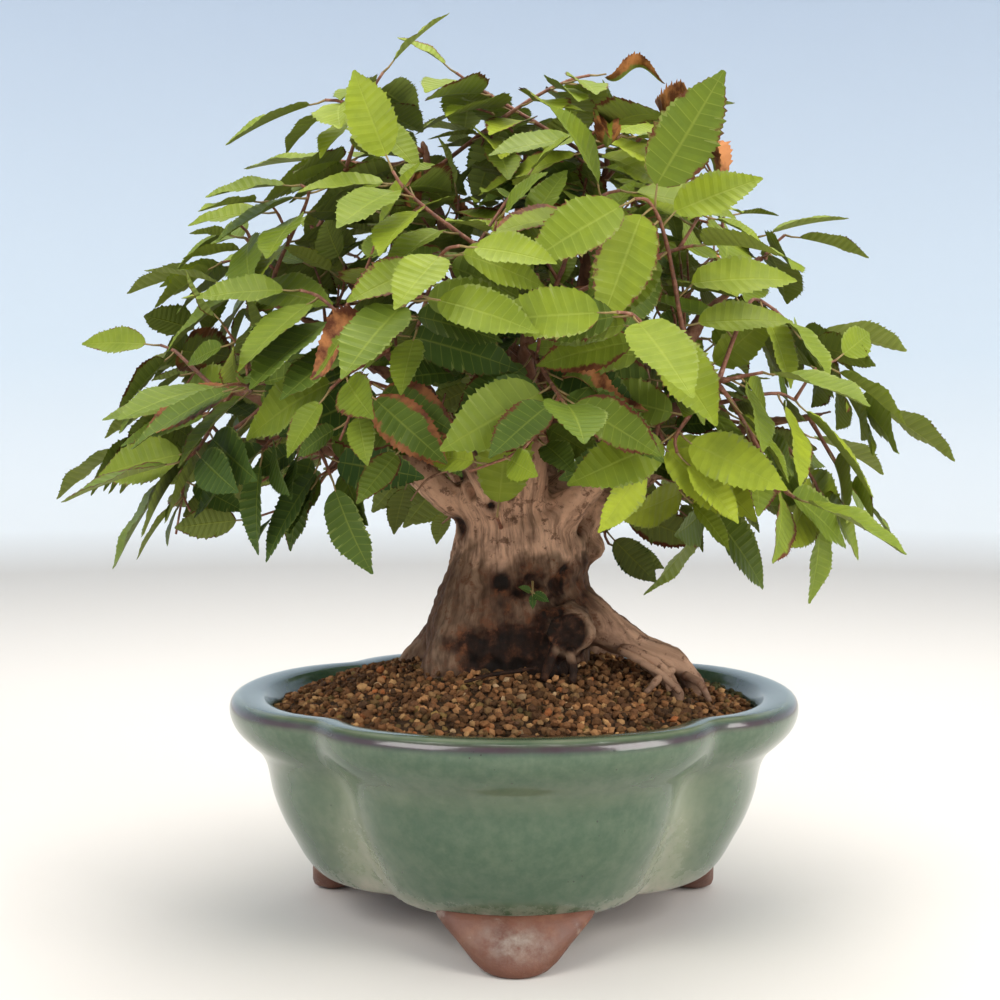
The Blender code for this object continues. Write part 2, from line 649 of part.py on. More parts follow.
class Spray:
    def __init__(self, index, base, tip):
        self.twig_owner = ("twig", index)
        self.leaf_owner = ("leaf", index)
        self.base = base
        self.tip = tip
        self.leaves = []
        self.path = []

    def outward(self):
        middle = Vector(CROWN_CENTRE)
        out = self.base - middle
        out.z *= OUTWARD_LEVEL
        return out.normalized()

    def pick_up(self, path):
        # The twig's upper side: whichever of four ways lies most square to it all along
        sky, out = Vector((0, 0, 1)), self.outward()
        ways = [sky + out * TWIG_UP, out, sky, out - sky * TWIG_UP]
        runs = [(b - a).normalized() for a, b in zip(path, path[1:])]
        slants = [max(abs(way.normalized().dot(run)) for run in runs) for way in ways]
        if slants[0] < STEEPEST:
            return ways[0].normalized()
        return ways[slants.index(min(slants))].normalized()

    def face_up(self, direction, draw):
        up = Vector((0, 0, 1)) * FACE_UP + self.outward() + chance(draw) * FACE_CHANCE
        if abs(up.normalized().dot(direction)) > STEEPEST:
            up = Vector((0, 0, 1)) if abs(direction.z) < STEEPEST else self.outward()
        return up

    def twig_path(self, curve, span, pairs):
        # Points of the twig: its start, the two ends of each joint, and its tip
        path = [curve(0.0)]
        for pair in reversed(range(pairs)):
            back = PAIR_START + PAIR_PITCH * pair
            path.append(curve(1 - (back + JOINT_HALF) / span))
            path.append(curve(1 - (back - JOINT_HALF) / span))
        path.append(curve(1.0))
        return path

    def grow_twig(self, spots, most_pairs, wood_tree, space, draw):
        # Finds a clear curved way from a limb to the base of the end leaf
        direction = (self.tip - self.base).normalized()
        scored = []
        for spot, growth in spots:
            way = self.base - spot
            turn = 1 - way.normalized().dot(growth)
            scored.append((way.length * (1 + TURN_COST * turn), spot))
        scored.sort(key=lambda item: item[0])
        for attempt in range(TRIES):
            spot = scored[min(attempt * SPOT_STEP, len(scored) - 1)][1]
            ray = (spot - self.base).normalized()
            hit = wood_tree.ray_cast(self.base, ray)[0]
            if hit is None:
                continue
            span = (self.base - hit).length
            room = int((span - PAIR_START - ROOT_STRETCH) / PAIR_PITCH) + 1
            pairs = max(0, min(most_pairs, room))
            wobble = chance(draw)
            thick, thin = TWIG_RADIUS
            radii = [thick + (thin - thick) * i / (2 * pairs + 1) for i in range(2 * pairs + 2)]
            for away in TWIG_GAPS:
                start = hit - ray * away
                first = start - ray * span * TWIG_PULL[0] + wobble * span * TWIG_SWAY * (1 + attempt)
                second = self.base - direction * span * TWIG_PULL[1]

                def curve(t, corners=(start, first, second, self.base)):
                    return bezier(*corners, t)

                path = self.twig_path(curve, span, pairs)
                up = self.pick_up(path)
                tight = tube(path, [r + TWIG_ROOM[0] for r in radii], up)
                if not tree_of(tight).overlap(wood_tree):
                    break
            else:
                continue
            fat = tube(path, [r + TWIG_ROOM[1] for r in radii], up)
            away_from_root = tube([path[0].lerp(path[1], ROOT_SHARE)] + path[1:],
                                  [r + TWIG_ROOM[1] for r in radii], up)
            if tree_of(away_from_root).overlap(wood_tree) or not space.clear((), fat):
                continue
            self.path = path
            self.up = up
            self.twig = tube(path, radii, up)
            self.fat = fat
            if not self.spoiled(wood_tree, space):
                return True
        return False

    def try_leaf(self, joint, side, length, space, wood_tree, draw):
        # Tries a leaf on one side of a joint, or on the twig's tip where the joint is None
        if joint is None:
            base, direction = self.path[-1], (self.tip - self.base).normalized()
        else:
            low, high = self.path[joint], self.path[joint + 1]
            base, along = (low + high) / 2, (high - low).normalized()
            sideways = along.cross(self.up).normalized() * side
            forward, out_wide, outward, down = SIDE_WAY
            direction = along * forward + sideways * out_wide + self.outward() * outward
            direction = (direction - Vector((0, 0, down))).normalized()
        for attempt in range(TRIES):
            aim = (direction + chance(draw) * (AIM_SWING[0] + AIM_SWING[1] * attempt)).normalized()
            size = length * (1 - TRY_SHRINK * attempt)
            if not self.joins_well(joint, side, aim):
                continue
            frame = leaf_frame(base + aim * STALK, aim, self.face_up(aim, draw))
            true = placed(leaf_shape(size), frame)
            wide = placed(leaf_shape(size, *LEAF_ROOM), frame)
            if tree_of(wide).overlap(wood_tree) or tree_of(true).overlap(wood_tree):
                continue
            if tree_of(blade_only(wide)).overlap(tree_of(self.twig)):
                continue
            own = (self.twig_owner,)
            if not space.clear(own, wide) or not space.clear(own, true):
                continue
            self.leaves.append((joint, side, true))
            if self.spoiled(wood_tree, space):
                self.leaves.pop()
                continue
            space.add(self.leaf_owner, wide)
            space.add(self.leaf_owner, true)
            return True
        return False

    def side_corner(self, joint, side):
        # Which lower corner of the joint lies on this side
        along = self.path[joint + 1] - self.path[joint]
        sideways = along.cross(self.up) * side
        corners = section(self.path, joint, self.up)
        return 1 if corners[1].dot(sideways) > 0 else 2

    def joins_well(self, joint, side, aim):
        # The leaf has to leave on its own side of the twig
        if joint is None:
            return aim.dot((self.path[-1] - self.path[-2]).normalized()) > LEAST_OUT
        corners = section(self.path, joint, self.up)
        out = -corners[3 - self.side_corner(joint, side)]
        return aim.dot(out) > LEAST_OUT

    def shape(self):
        # The whole spray as one closed skin: each stalk opens the end or one side of its joint
        points, faces = list(self.twig[0]), list(self.twig[1])
        for joint, side, (leaf_points, leaf_faces) in self.leaves:
            shift = len(points) - 1
            points += leaf_points[1:]
            faces += [tuple(shift + i for i in face) for face in leaf_faces if 0 not in face]
            # The leaf without its stalk end is open along its two edges and its heart above and below
            top, under = len(points) - 2, len(points) - 1
            mouth = [top, shift + 1, under, top - 1]
            if joint is None:
                ring = [3 * (len(self.path) - 1) + k for k in range(3)]
            else:
                low = self.side_corner(joint, side)
                ring = [3 * joint, 3 * joint + 3, 3 * joint + 3 + low, 3 * joint + low]
            faces = [face for face in faces if not set(face) <= set(ring)]
            faces += joined(points, ring, mouth)
        return points, faces

    def spoiled(self, wood_tree, space):
        # Whether the skin meets the wood, another spray, or itself where triangles share no corner
        points, faces = self.shape()
        tree = tree_of((points, faces))
        own = (self.twig_owner, self.leaf_owner)
        if tree.overlap(wood_tree) or not space.clear(own, (points, faces)):
            return True
        return any(not set(faces[i]) & set(faces[j]) for i, j in tree.overlap(tree))


def fill_places(taken):
    # Even places over the crown for the sprays that the photograph doesn't pick out
    middle, half = Vector(CROWN_CENTRE), Vector(CROWN_HALF)
    golden = math.pi * (3 - math.sqrt(5))
    places = []
    for i in range(FILL_POINTS):
        height = 1 - (i + 0.5) / FILL_POINTS * (1 - CROWN_LOWEST)
        ring = math.sqrt(1 - height * height)
        angle = golden * i
        unit = Vector((ring * math.cos(angle), ring * math.sin(angle), height))
        spot = middle + Vector((unit.x * half.x, unit.y * half.y, unit.z * half.z))
        if all((spot - other).length > FILL_SPACING for other in taken + [p for p, _ in places]):
            slope, hang = FILL_LEAN
            lean = Vector((unit.x, unit.y, unit.z * slope - hang)).normalized()
            places.append((spot, lean))
    return places


def grow_sprays(wood):
    draw = random.Random(SEED)
    wood_tree = BVHTree.FromPolygons([v.co / MM for v in wood.data.vertices],
                                     [tuple(p.vertices) for p in wood.data.polygons])
    space = Space()
    spots = limb_spots()
    wanted = [(Vector(base), Vector(tip)) for base, tip in [SPROUT] + SEEN_SPRAYS]
    fills = fill_places([base for base, _ in wanted])
    draw.shuffle(fills)
    wanted += [(spot, spot + lean * LEAF_LENGTH) for spot, lean in fills]
    sprays = []
    for base, tip in wanted:
        if len(sprays) == SPRAY_COUNT:
            break
        spray = Spray(len(sprays), base, tip)
        seats, pairs = (spots, MOST_PAIRS) if sprays else (SPROUT_SPOTS, SPROUT_PAIRS)
        if not spray.grow_twig(seats, pairs, wood_tree, space, draw):
            continue
        if spray.try_leaf(None, 0, (tip - base).length, space, wood_tree, draw):
            sprays.append(spray)
            space.add(spray.twig_owner, spray.fat)
    for pair in range(MOST_PAIRS):
        for spray in sprays:
            joint = len(spray.path) - 3 - 2 * pair
            for side in (1, -1):
                if joint > 0 and sum(len(other.leaves) for other in sprays) < MOST_LEAVES:
                    length = LEAF_LENGTH * draw.uniform(*LEAF_RANGE)
                    spray.try_leaf(joint, side, length, space, wood_tree, draw)
    print("sprays", len(sprays), "of", len(wanted), "leaves", sum(len(s.leaves) for s in sprays))
    return sprays


def make_spray(number, spray, parts, finish):
    points, faces = spray.shape()
    name = f"spray_{number:02d}"
    mesh = bpy.data.meshes.new(name)
    mesh.from_pydata([p * MM for p in points], [], faces)
    work = bmesh.new()
    work.from_mesh(mesh)
    bmesh.ops.recalc_face_normals(work, faces=work.faces)
    work.to_mesh(mesh)
    work.free()
    return new_object(name, mesh, parts, finish)


def stand_at_middle(parts):
    # Puts the middle of the whole object's footprint over the origin
    corners = [v.co for thing in parts.objects for v in thing.data.vertices]
    low, high = bounds_of(corners)
    stand = bpy.data.objects.new("stand", None)
    parts.objects.link(stand)
    stand.location = (-(low.x + high.x) / 2, -(low.y + high.y) / 2, -low.z)
    for thing in parts.objects:
        if thing != stand:
            thing.parent = stand
    print("stand at", [round(c / MM, 3) for c in stand.location])


def make_all():
    for thing in list(bpy.data.objects):
        bpy.data.objects.remove(thing)
    noise.seed_set(NOISE_SEED)
    parts = collection("korean_hornbeam_bonsai")
    cutters = collection("cutters")
    glaze = material("glaze", (0.09, 0.24, 0.17), 0.25)
    plastic = material("screen_plastic", (0.02, 0.02, 0.02), 0.6)
    grains = material("soil_grains", (0.25, 0.14, 0.06), 0.95)
    bark = material("bark", (0.34, 0.24, 0.17), 0.8)
    leaf = material("leaf", (0.14, 0.32, 0.04), 0.45)
    make_pot(parts, cutters, glaze)
    make_screen(parts, plastic)
    wood = make_wood(parts, cutters, bark)
    make_soil(parts, cutters, grains, wood)
    for number, spray in enumerate(grow_sprays(wood)):
        make_spray(number, spray, parts, leaf)
    bpy.data.collections.remove(cutters)
    stand_at_middle(parts)


make_all()
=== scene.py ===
import math
import random

import bmesh
import bpy
from mathutils import Matrix, Vector, noise
from mathutils.bvhtree import BVHTree
from mathutils.kdtree import KDTree


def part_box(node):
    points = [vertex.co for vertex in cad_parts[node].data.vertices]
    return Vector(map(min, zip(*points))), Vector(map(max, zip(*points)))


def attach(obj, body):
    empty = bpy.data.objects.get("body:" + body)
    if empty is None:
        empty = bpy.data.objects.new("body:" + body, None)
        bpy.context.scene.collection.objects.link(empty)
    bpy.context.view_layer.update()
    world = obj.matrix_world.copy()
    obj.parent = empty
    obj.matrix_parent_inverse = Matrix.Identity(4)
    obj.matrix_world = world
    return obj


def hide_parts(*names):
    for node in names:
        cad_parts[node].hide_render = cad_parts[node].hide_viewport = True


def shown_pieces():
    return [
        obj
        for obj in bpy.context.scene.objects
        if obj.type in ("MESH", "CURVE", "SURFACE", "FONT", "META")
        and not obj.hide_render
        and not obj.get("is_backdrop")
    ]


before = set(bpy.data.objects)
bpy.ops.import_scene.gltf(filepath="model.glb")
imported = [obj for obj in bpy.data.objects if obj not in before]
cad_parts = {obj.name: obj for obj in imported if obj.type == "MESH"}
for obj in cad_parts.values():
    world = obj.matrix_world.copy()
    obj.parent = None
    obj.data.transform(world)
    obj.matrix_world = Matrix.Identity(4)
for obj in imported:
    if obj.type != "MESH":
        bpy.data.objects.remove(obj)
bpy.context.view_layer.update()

mm = 0.001
mergeGap = 0.01 * mm  # points nearer than this become one
potLow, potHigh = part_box("pot")
potX = (potLow.x + potHigh.x) / 2  # the pot's upright axis, which the places below count from
potY = (potLow.y + potHigh.y) / 2
potAxis = Vector((potX, potY, 2 * mm))  # heights below count from 2 mm over the table

# What a user would change about the picture
studio = {
    "cameraPlace": (-4.4, -516.0, 156.0),  # mm from the pot's axis at the table
    "lens": 58.1,
    "sensor": 36,
    "lookDown": 2.97,  # degrees
    "floorTone": (0.73, 0.685, 0.63),
    # lightened just above the floor: a painted light over the shade where the backdrop bends up
    "bendLightTone": (0.96, 0.98, 0.98),
    "middleTone": (0.78, 0.87, 0.95),
    "skyTone": (0.64, 0.74, 0.88),
    "floorRadius": 1.2,  # m
    # how far each step of the backdrop widens, and its rise in m
    "backdropSteps": ((1.18, 0.03), (1.13, 0.12), (1.08, 0.3), (1.04, 0.6), (1.0, 1.2)),
    # place, aim and size in m, power in watts and tone of each soft light
    "lights": {
        "keyLight": ((-0.75, -0.75, 0.85), (0, 0, 0.13), (0.7, 0.7), 8.8, (1.0, 0.98, 0.95)),
        "fillLight": ((0.85, -0.6, 0.55), (0, 0, 0.12), (0.6, 0.8), 10.0, (1.0, 0.98, 0.94)),
        "topLight": ((0.05, 0.1, 1.05), (0, 0, 0.1), (0.9, 0.9), 11.2, (1.0, 0.98, 0.94)),
    },
    "airTone": (1.0, 0.98, 0.94, 1),
    "airStrength": 0.50,
}


def smoothStep(low, high, value):
    share = max(0.0, min(1.0, (value - low) / (high - low)))
    return share * share * (3 - 2 * share)


def deselectAll():
    for thing in bpy.context.selected_objects:
        thing.select_set(False)


def makeActive(thing):
    deselectAll()
    bpy.context.view_layer.objects.active = thing
    thing.select_set(True)


def takeNew(name):
    # the primitive that was just added, with its place moved into its mesh
    thing = bpy.context.active_object
    thing.name = name
    thing.data.name = name
    makeActive(thing)
    bpy.ops.object.transform_apply(location=True, rotation=True, scale=True)
    return thing


def putInScene(name, data):
    thing = bpy.data.objects.new(name, data)
    bpy.context.scene.collection.objects.link(thing)
    return thing


def editAll():
    bpy.ops.object.mode_set(mode="EDIT")
    bpy.ops.mesh.select_all(action="SELECT")


def extrudeRing(rise, widen):
    # draws the selected loop up, and widens it round the upright axis
    bpy.ops.mesh.extrude_region_move(TRANSFORM_OT_translate={"value": (0, 0, rise)})
    bpy.ops.transform.resize(value=(widen, widen, 1), center_override=(0, 0, 0))


def closeEdit():
    # turns every face outwards
    bpy.ops.mesh.select_all(action="SELECT")
    bpy.ops.mesh.normals_make_consistent(inside=False)
    bpy.ops.object.mode_set(mode="OBJECT")


def joinAll(target, others):
    makeActive(target)
    for thing in others:
        thing.select_set(True)
    bpy.ops.object.join()
    return bpy.context.active_object


def surfaceTree(*meshes):
    # answers how near a point is to these surfaces
    work = bmesh.new()
    for mesh in meshes:
        work.from_mesh(mesh)
    tree = BVHTree.FromBMesh(work)
    work.free()
    return tree


def bumps(place, *layers):
    # smooth random rise and fall, each layer with its width and its height
    return sum(height * noise.noise(place / width) for width, height in layers)


def smoothCurvePoints(points, partsEach):
    # Catmull-Rom points through a list of number rows
    first = [2 * a - b for a, b in zip(points[0], points[1])]
    last = [2 * a - b for a, b in zip(points[-1], points[-2])]
    ends = [first] + [list(p) for p in points] + [last]
    path = []
    for i in range(1, len(ends) - 2):
        p0, p1, p2, p3 = ends[i - 1:i + 3]
        for step in range(partsEach):
            t = step / partsEach
            path.append([0.5 * (2 * b + (c - a) * t + (2 * a - 5 * b + 4 * c - d) * t * t
                                + (3 * b - a - 3 * c + d) * t ** 3) for a, b, c, d in zip(p0, p1, p2, p3)])
    path.append(list(points[-1]))
    return path


def tubeMesh(name, path, radii, sides):
    # a slim round stem with closed ends
    work = bmesh.new()
    loops = []
    last = len(path) - 1
    reference = Vector((0.31, 0.22, 0.92))  # no stem runs this way
    for i, spot in enumerate(path):
        along = (path[min(i + 1, last)] - path[max(i - 1, 0)]).normalized()
        side = along.cross(reference).normalized()
        over = side.cross(along)
        loop = []
        for k in range(sides):
            a = 2 * math.pi * k / sides
            loop.append(work.verts.new(spot + (side * math.cos(a) + over * math.sin(a)) * radii[i]))
        loops.append(loop)
    for low, high in zip(loops, loops[1:]):
        for k in range(sides):
            j = (k + 1) % sides
            work.faces.new((low[k], low[j], high[j], high[k]))
    work.faces.new(reversed(loops[0]))
    work.faces.new(loops[-1])
    bmesh.ops.recalc_face_normals(work, faces=work.faces)
    mesh = bpy.data.meshes.new(name)
    work.to_mesh(mesh)
    work.free()
    mesh.uv_layers.new(name="UVMap")
    return putInScene(name, mesh)


# Each finish is a node tree around one Principled shader
class Finish:
    def __init__(self, name):
        self.material = bpy.data.materials.new(name)
        self.material.use_nodes = True
        self.nodes = self.material.node_tree.nodes
        self.shader = self.nodes["Principled BSDF"]
        self.place = self.nodes.new("ShaderNodeTexCoord").outputs["Object"]

    def feed(self, socket, value):
        # with a number, a colour or what another node gives
        if isinstance(value, (int, float)):
            socket.default_value = value
        elif isinstance(value, tuple):
            socket.default_value = (*value, 1)
        else:
            self.material.node_tree.links.new(value, socket)

    def put(self, kind, sockets, **settings):
        node = self.nodes.new(kind)
        for key, value in settings.items():
            setattr(node, key, value)
        for key, value in sockets.items():
            self.feed(node.inputs[key], value)
        return node

    def split(self, vector):
        return self.put("ShaderNodeSeparateXYZ", {"Vector": vector}).outputs

    def stretched(self, scale):
        node = self.put("ShaderNodeMapping", {"Vector": self.place})
        node.inputs["Scale"].default_value = scale
        return node.outputs["Vector"]

    def noise(self, scale, detail=4.0, rough=0.5, vector=None):
        return self.put("ShaderNodeTexNoise", {"Scale": scale, "Detail": detail, "Roughness": rough,
                                               "Vector": vector or self.place}).outputs["Fac"]

    def cells(self, scale):
        return self.put("ShaderNodeTexVoronoi", {"Scale": scale, "Vector": self.place}).outputs["Distance"]

    def ramp(self, source, *stops):
        node = self.put("ShaderNodeValToRGB", {"Fac": source})
        band = node.color_ramp
        while len(band.elements) < len(stops):
            band.elements.new(0.5)
        for element, (at, tone) in zip(band.elements, stops):
            element.position = at
            element.color = (*tone, 1)
        return node.outputs["Color"]

    def levels(self, source, low, high, least=0.0, most=1.0):
        return self.put("ShaderNodeMapRange", {"Value": source, "From Min": low, "From Max": high,
                                               "To Min": least, "To Max": most}).outputs["Result"]

    def maths(self, operation, a, b=0.5, clamp=False):
        return self.put("ShaderNodeMath", {0: a, 1: b}, operation=operation, use_clamp=clamp).outputs["Value"]

    def times(self, a, b):
        return self.maths("MULTIPLY", a, b, clamp=True)

    def mix(self, share, a, b):
        # 6, 7 and 2 are the node's colour sockets
        return self.put("ShaderNodeMix", {0: share, 6: a, 7: b}, data_type="RGBA").outputs[2]

    def coats(self, colour, *layers):
        # tones laid over one another: what drives each, the range it is read over, its shares and its tone
        for source, low, high, least, most, tone in layers:
            colour = self.mix(self.levels(source, low, high, least, most), colour, tone)
        return colour

    def attribute(self, name):
        # the painted colour, and its three shares
        colour = self.put("ShaderNodeAttribute", {}, attribute_name=name).outputs["Color"]
        return [colour, *self.put("ShaderNodeSeparateColor", {"Color": colour}).outputs]

    def bump(self, height, strength, distance, under=None):
        sockets = {"Height": height, "Strength": strength, "Distance": distance}
        if under:
            sockets["Normal"] = under
        return self.put("ShaderNodeBump", sockets).outputs["Normal"]

    def finish(self, colour, roughness, normal=None):
        self.feed(self.shader.inputs["Base Color"], colour)
        self.feed(self.shader.inputs["Roughness"], roughness)
        if normal:
            self.feed(self.shader.inputs["Normal"], normal)
        return self.material


def paintPoints(thing, name, valueAt):
    # a colour attribute worked out from each point's place
    layer = thing.data.color_attributes.new(name=name, type="FLOAT_COLOR", domain="POINT")
    flat = []
    for vertex in thing.data.vertices:
        flat.extend((*valueAt(vertex.co), 1.0))
    layer.data.foreach_set("color", flat)


# Camera, floor and light
print("stage: studio")
cameraData = bpy.data.cameras.new("camera")
cameraData.lens = studio["lens"]
cameraData.sensor_width = studio["sensor"]
cameraData.clip_start = 0.01
camera = putInScene("camera", cameraData)
camera.location = potAxis + Vector(studio["cameraPlace"]) * mm
camera.rotation_euler = (math.radians(90 - studio["lookDown"]), 0, 0)
bpy.context.scene.camera = camera


def makeSweep():
    # a pale floor that curves up into a backdrop
    deselectAll()
    radius = studio["floorRadius"]
    bpy.ops.mesh.primitive_circle_add(vertices=96, radius=radius, fill_type="NGON", location=(0, 0, 0))
    sweep = takeNew("studioSweep")
    editAll()
    bpy.ops.mesh.region_to_loop()
    for spread, rise in studio["backdropSteps"]:
        extrudeRing(rise, spread)
    bpy.ops.object.mode_set(mode="OBJECT")
    bpy.ops.object.shade_smooth()
    tone = Finish("studioPaper")
    height = tone.split(tone.place)["Z"]
    # the tone just above the floor is a painted light over the bend's shade
    colour = tone.ramp(tone.levels(height, 0.0, 0.75), (0.0, studio["floorTone"]),
                       (0.04, studio["bendLightTone"]), (0.32, studio["middleTone"]), (1.0, studio["skyTone"]))
    sweep.data.materials.append(tone.finish(colour, 0.85))
    sweep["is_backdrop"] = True


def addLight(name, place, aim, size, power, tone):
    data = bpy.data.lights.new(name, "AREA")
    data.shape = "RECTANGLE"
    data.size, data.size_y = size
    data.energy = power
    data.color = tone
    lamp = putInScene(name, data)
    lamp.location = place
    lamp.rotation_euler = (Vector(aim) - Vector(place)).to_track_quat("-Z", "Y").to_euler()


makeSweep()
for lightName, lightValues in studio["lights"].items():
    addLight(lightName, *lightValues)
world = bpy.data.worlds.new("studioWorld")
world.use_nodes = True
air = world.node_tree.nodes["Background"]
air.inputs["Color"].default_value = studio["airTone"]
air.inputs["Strength"].default_value = studio["airStrength"]
bpy.context.scene.world = world
bpy.context.scene.view_settings.view_transform = "Standard"


# Pot: a lobed outline extruded ring by ring, with three feet
pot = {
    "ringPoints": 216,
    "squeeze": 0.975,  # depth of the plan as a share of its width
    # height, depth as a share of the radius and width in degrees of a groove, low and at the rim
    "grooveLow": (12.0, 0.17, 15.0),
    "grooveHigh": (68.0, 0.08, 6.7),
    "grooveSoftness": 0.08,  # radians
    # radius and height in mm down the outside, from the rim's inner edge
    "outside": [(79.5, 67.8), (81.0, 68.4), (84.0, 68.8), (87.4, 68.7), (89.4, 67.6), (90.4, 65.4), (90.2, 62.4),
                (88.6, 58.8), (85.2, 55.0), (81.7, 51.7), (79.6, 48.0), (78.6, 44.0), (77.8, 39.0), (76.4, 34.0),
                (74.3, 28.6), (71.8, 23.7), (69.2, 18.6), (66.8, 15.0), (64.4, 12.6), (61.5, 11.3)],
    "inside": [(12.0, 19.0), (57.0, 19.0), (63.0, 23.0), (67.5, 29.0), (69.6, 38.0), (71.0, 50.0), (74.5, 58.5),
               (77.6, 64.4)],
    "rimTop": 68.6,
    "rimLineHeight": 66.6,
    "drainRadius": 12.0,
    "underside": 11.2,
    "footAngles": (-90.0, 22.0, 158.0),
    "footReach": 64.5,
    "footPoints": 40,
    # half width, half depth, height and lean towards the middle of each foot
    "footRings": [(5.6, 4.4, -2.0, 0.0), (7.4, 6.0, -1.8, 0.0), (9.6, 7.4, -0.8, 0.4), (12.2, 8.2, 1.2, 1.4),
                  (16.5, 9.0, 6.0, 3.6), (20.0, 9.6, 9.2, 6.4), (22.6, 10.0, 11.6, 9.2), (24.0, 10.0, 14.0, 11.0)],
    "glazeTone": (0.051, 0.095, 0.048),
    "glazeDeep": (0.031, 0.076, 0.040),
    # pale glaze, for the random mottle and for the painted highlights
    "glazePale": (0.26, 0.285, 0.19),
    "rimLine": (0.050, 0.026, 0.030),
    "speckTone": (0.02, 0.02, 0.015),
    "clayDark": (0.095, 0.036, 0.022),
    "clayTone": (0.150, 0.053, 0.028),
    "clayPale": (0.25, 0.115, 0.065),
    "limeTone": (0.44, 0.40, 0.33),
    "glassy": {"Coat Weight": 0.45, "Coat Roughness": 0.08, "IOR": 1.5},
    "bareInside": (66.0, 60.0),  # radius and height in mm under which the inside has no glaze
}


def grooveCut(angle, height):
    # share of the radius that the groove takes at an angle and a height in mm
    off = (angle - math.pi / 4) % (math.pi / 2)
    off = min(off, math.pi / 2 - off)
    softness = pot["grooveSoftness"]
    rounded = math.sqrt(off * off + softness ** 2) - softness
    low, high = pot["grooveLow"], pot["grooveHigh"]
    share = max(0.0, min(1.0, (height - low[0]) / (high[0] - low[0])))
    depth = low[1] + (high[1] - low[1]) * share
    width = math.radians(low[2] + (high[2] - low[2]) * share)
    return depth * math.exp(-rounded / width)


def pressLobes(thing, fullFrom=50.0):
    # presses a round body, standing on the pot's axis, into the four-lobed plan
    for vertex in thing.data.vertices:
        x, y, z = vertex.co / mm
        part = smoothStep(20.0, fullFrom, math.hypot(x, y))
        scale = 1 - grooveCut(math.atan2(y, x), z) * part
        vertex.co.x *= scale
        vertex.co.y *= scale * (1 - (1 - pot["squeeze"]) * part)


def makePotBody():
    outside = smoothCurvePoints(pot["outside"], 3)
    inside = smoothCurvePoints(pot["inside"], 2)
    rings = outside + [[pot["drainRadius"], pot["underside"]]] + inside
    deselectAll()
    radius, height = rings[0]
    bpy.ops.mesh.primitive_circle_add(vertices=pot["ringPoints"], radius=radius * mm, location=(0, 0, height * mm))
    body = takeNew("potFine")
    editAll()
    for before, after in zip(rings, rings[1:] + rings[:1]):
        extrudeRing((after[1] - before[1]) * mm, after[0] / before[0])
    bpy.ops.mesh.select_all(action="SELECT")
    bpy.ops.mesh.remove_doubles(threshold=5 * mergeGap)
    closeEdit()
    pressLobes(body)
    body.data.transform(Matrix.Translation(potAxis))
    return body


def makeFoot(number, angle):
    turn = math.radians(angle)
    deselectAll()
    bpy.ops.mesh.primitive_circle_add(vertices=pot["footPoints"], radius=1, fill_type="TRIFAN")
    foot = takeNew(f"foot{number}")
    editAll()
    wide, deep, base = pot["footRings"][0][:3]
    bpy.ops.transform.resize(value=(deep * mm, wide * mm, 1))
    bpy.ops.mesh.region_to_loop()
    for (w0, d0, h0, l0), (w1, d1, h1, l1) in zip(pot["footRings"], pot["footRings"][1:]):
        bpy.ops.mesh.extrude_region_move(TRANSFORM_OT_translate={"value": ((l0 - l1) * mm, 0, (h1 - h0) * mm)})
        bpy.ops.transform.resize(value=(d1 / d0, w1 / w0, 1), center_override=(-l1 * mm, 0, 0))
    bpy.ops.mesh.edge_face_add()
    closeEdit()
    reach = pot["footReach"] * mm
    place = Matrix.Translation(potAxis + Vector((reach * math.cos(turn), reach * math.sin(turn), base * mm)))
    foot.data.transform(place @ Matrix.Rotation(turn, 4, "Z"))
    return foot


def glazeHighlightAndMarks(place):
    # painted highlights as pale streaks in the creases, under the lip and along the rim's top edge, the dark line
    # under the rim, and lime low on the wall
    x, y = (place.x - potX) / mm, (place.y - potY) / mm / pot["squeeze"]
    z = (place.z - potAxis.z) / mm
    angle = math.atan2(y, x)
    cut = grooveCut(angle, z)
    radius = math.hypot(x, y) / (1 - cut)
    crease = (cut / 0.13) ** 3 * smoothStep(58, 48, z)  # strongest where the groove is deep; it places a painted highlight and some lime
    lipHighlight = smoothStep(45, 49.5, z) * smoothStep(59, 52, z) * 0.2  # a painted highlight under the flared lip
    # a painted highlight along the rim's top edge
    rimHighlight = math.exp(-((z - pot["rimTop"]) / 0.5) ** 2) * smoothStep(86, 88, radius) * 0.8
    line = min(1.0, 1.5 * math.exp(-((z - pot["rimLineHeight"]) / 1.0) ** 2)) * smoothStep(88, 89.2, radius)
    lime = smoothStep(20, 11, z) * smoothStep(50, 60, radius) + 0.35 * crease * smoothStep(46, 30, z)
    return max(min(crease, 0.85), lipHighlight, rimHighlight), line, lime


def footMarks(place):
    # lime washed down the middle of each foot
    off = (Vector((place.x - potX, place.y - potY)).length - 62 * mm) / mm
    middle = min(abs(math.degrees(math.atan2(place.y - potY, place.x - potX)) - angle) for angle in pot["footAngles"])
    height = (place.z - potAxis.z) / mm
    return 0, 0, math.exp(-(middle / 8) ** 2 - ((height - 7.5) / 3.5) ** 2) * smoothStep(-4, 2, off)


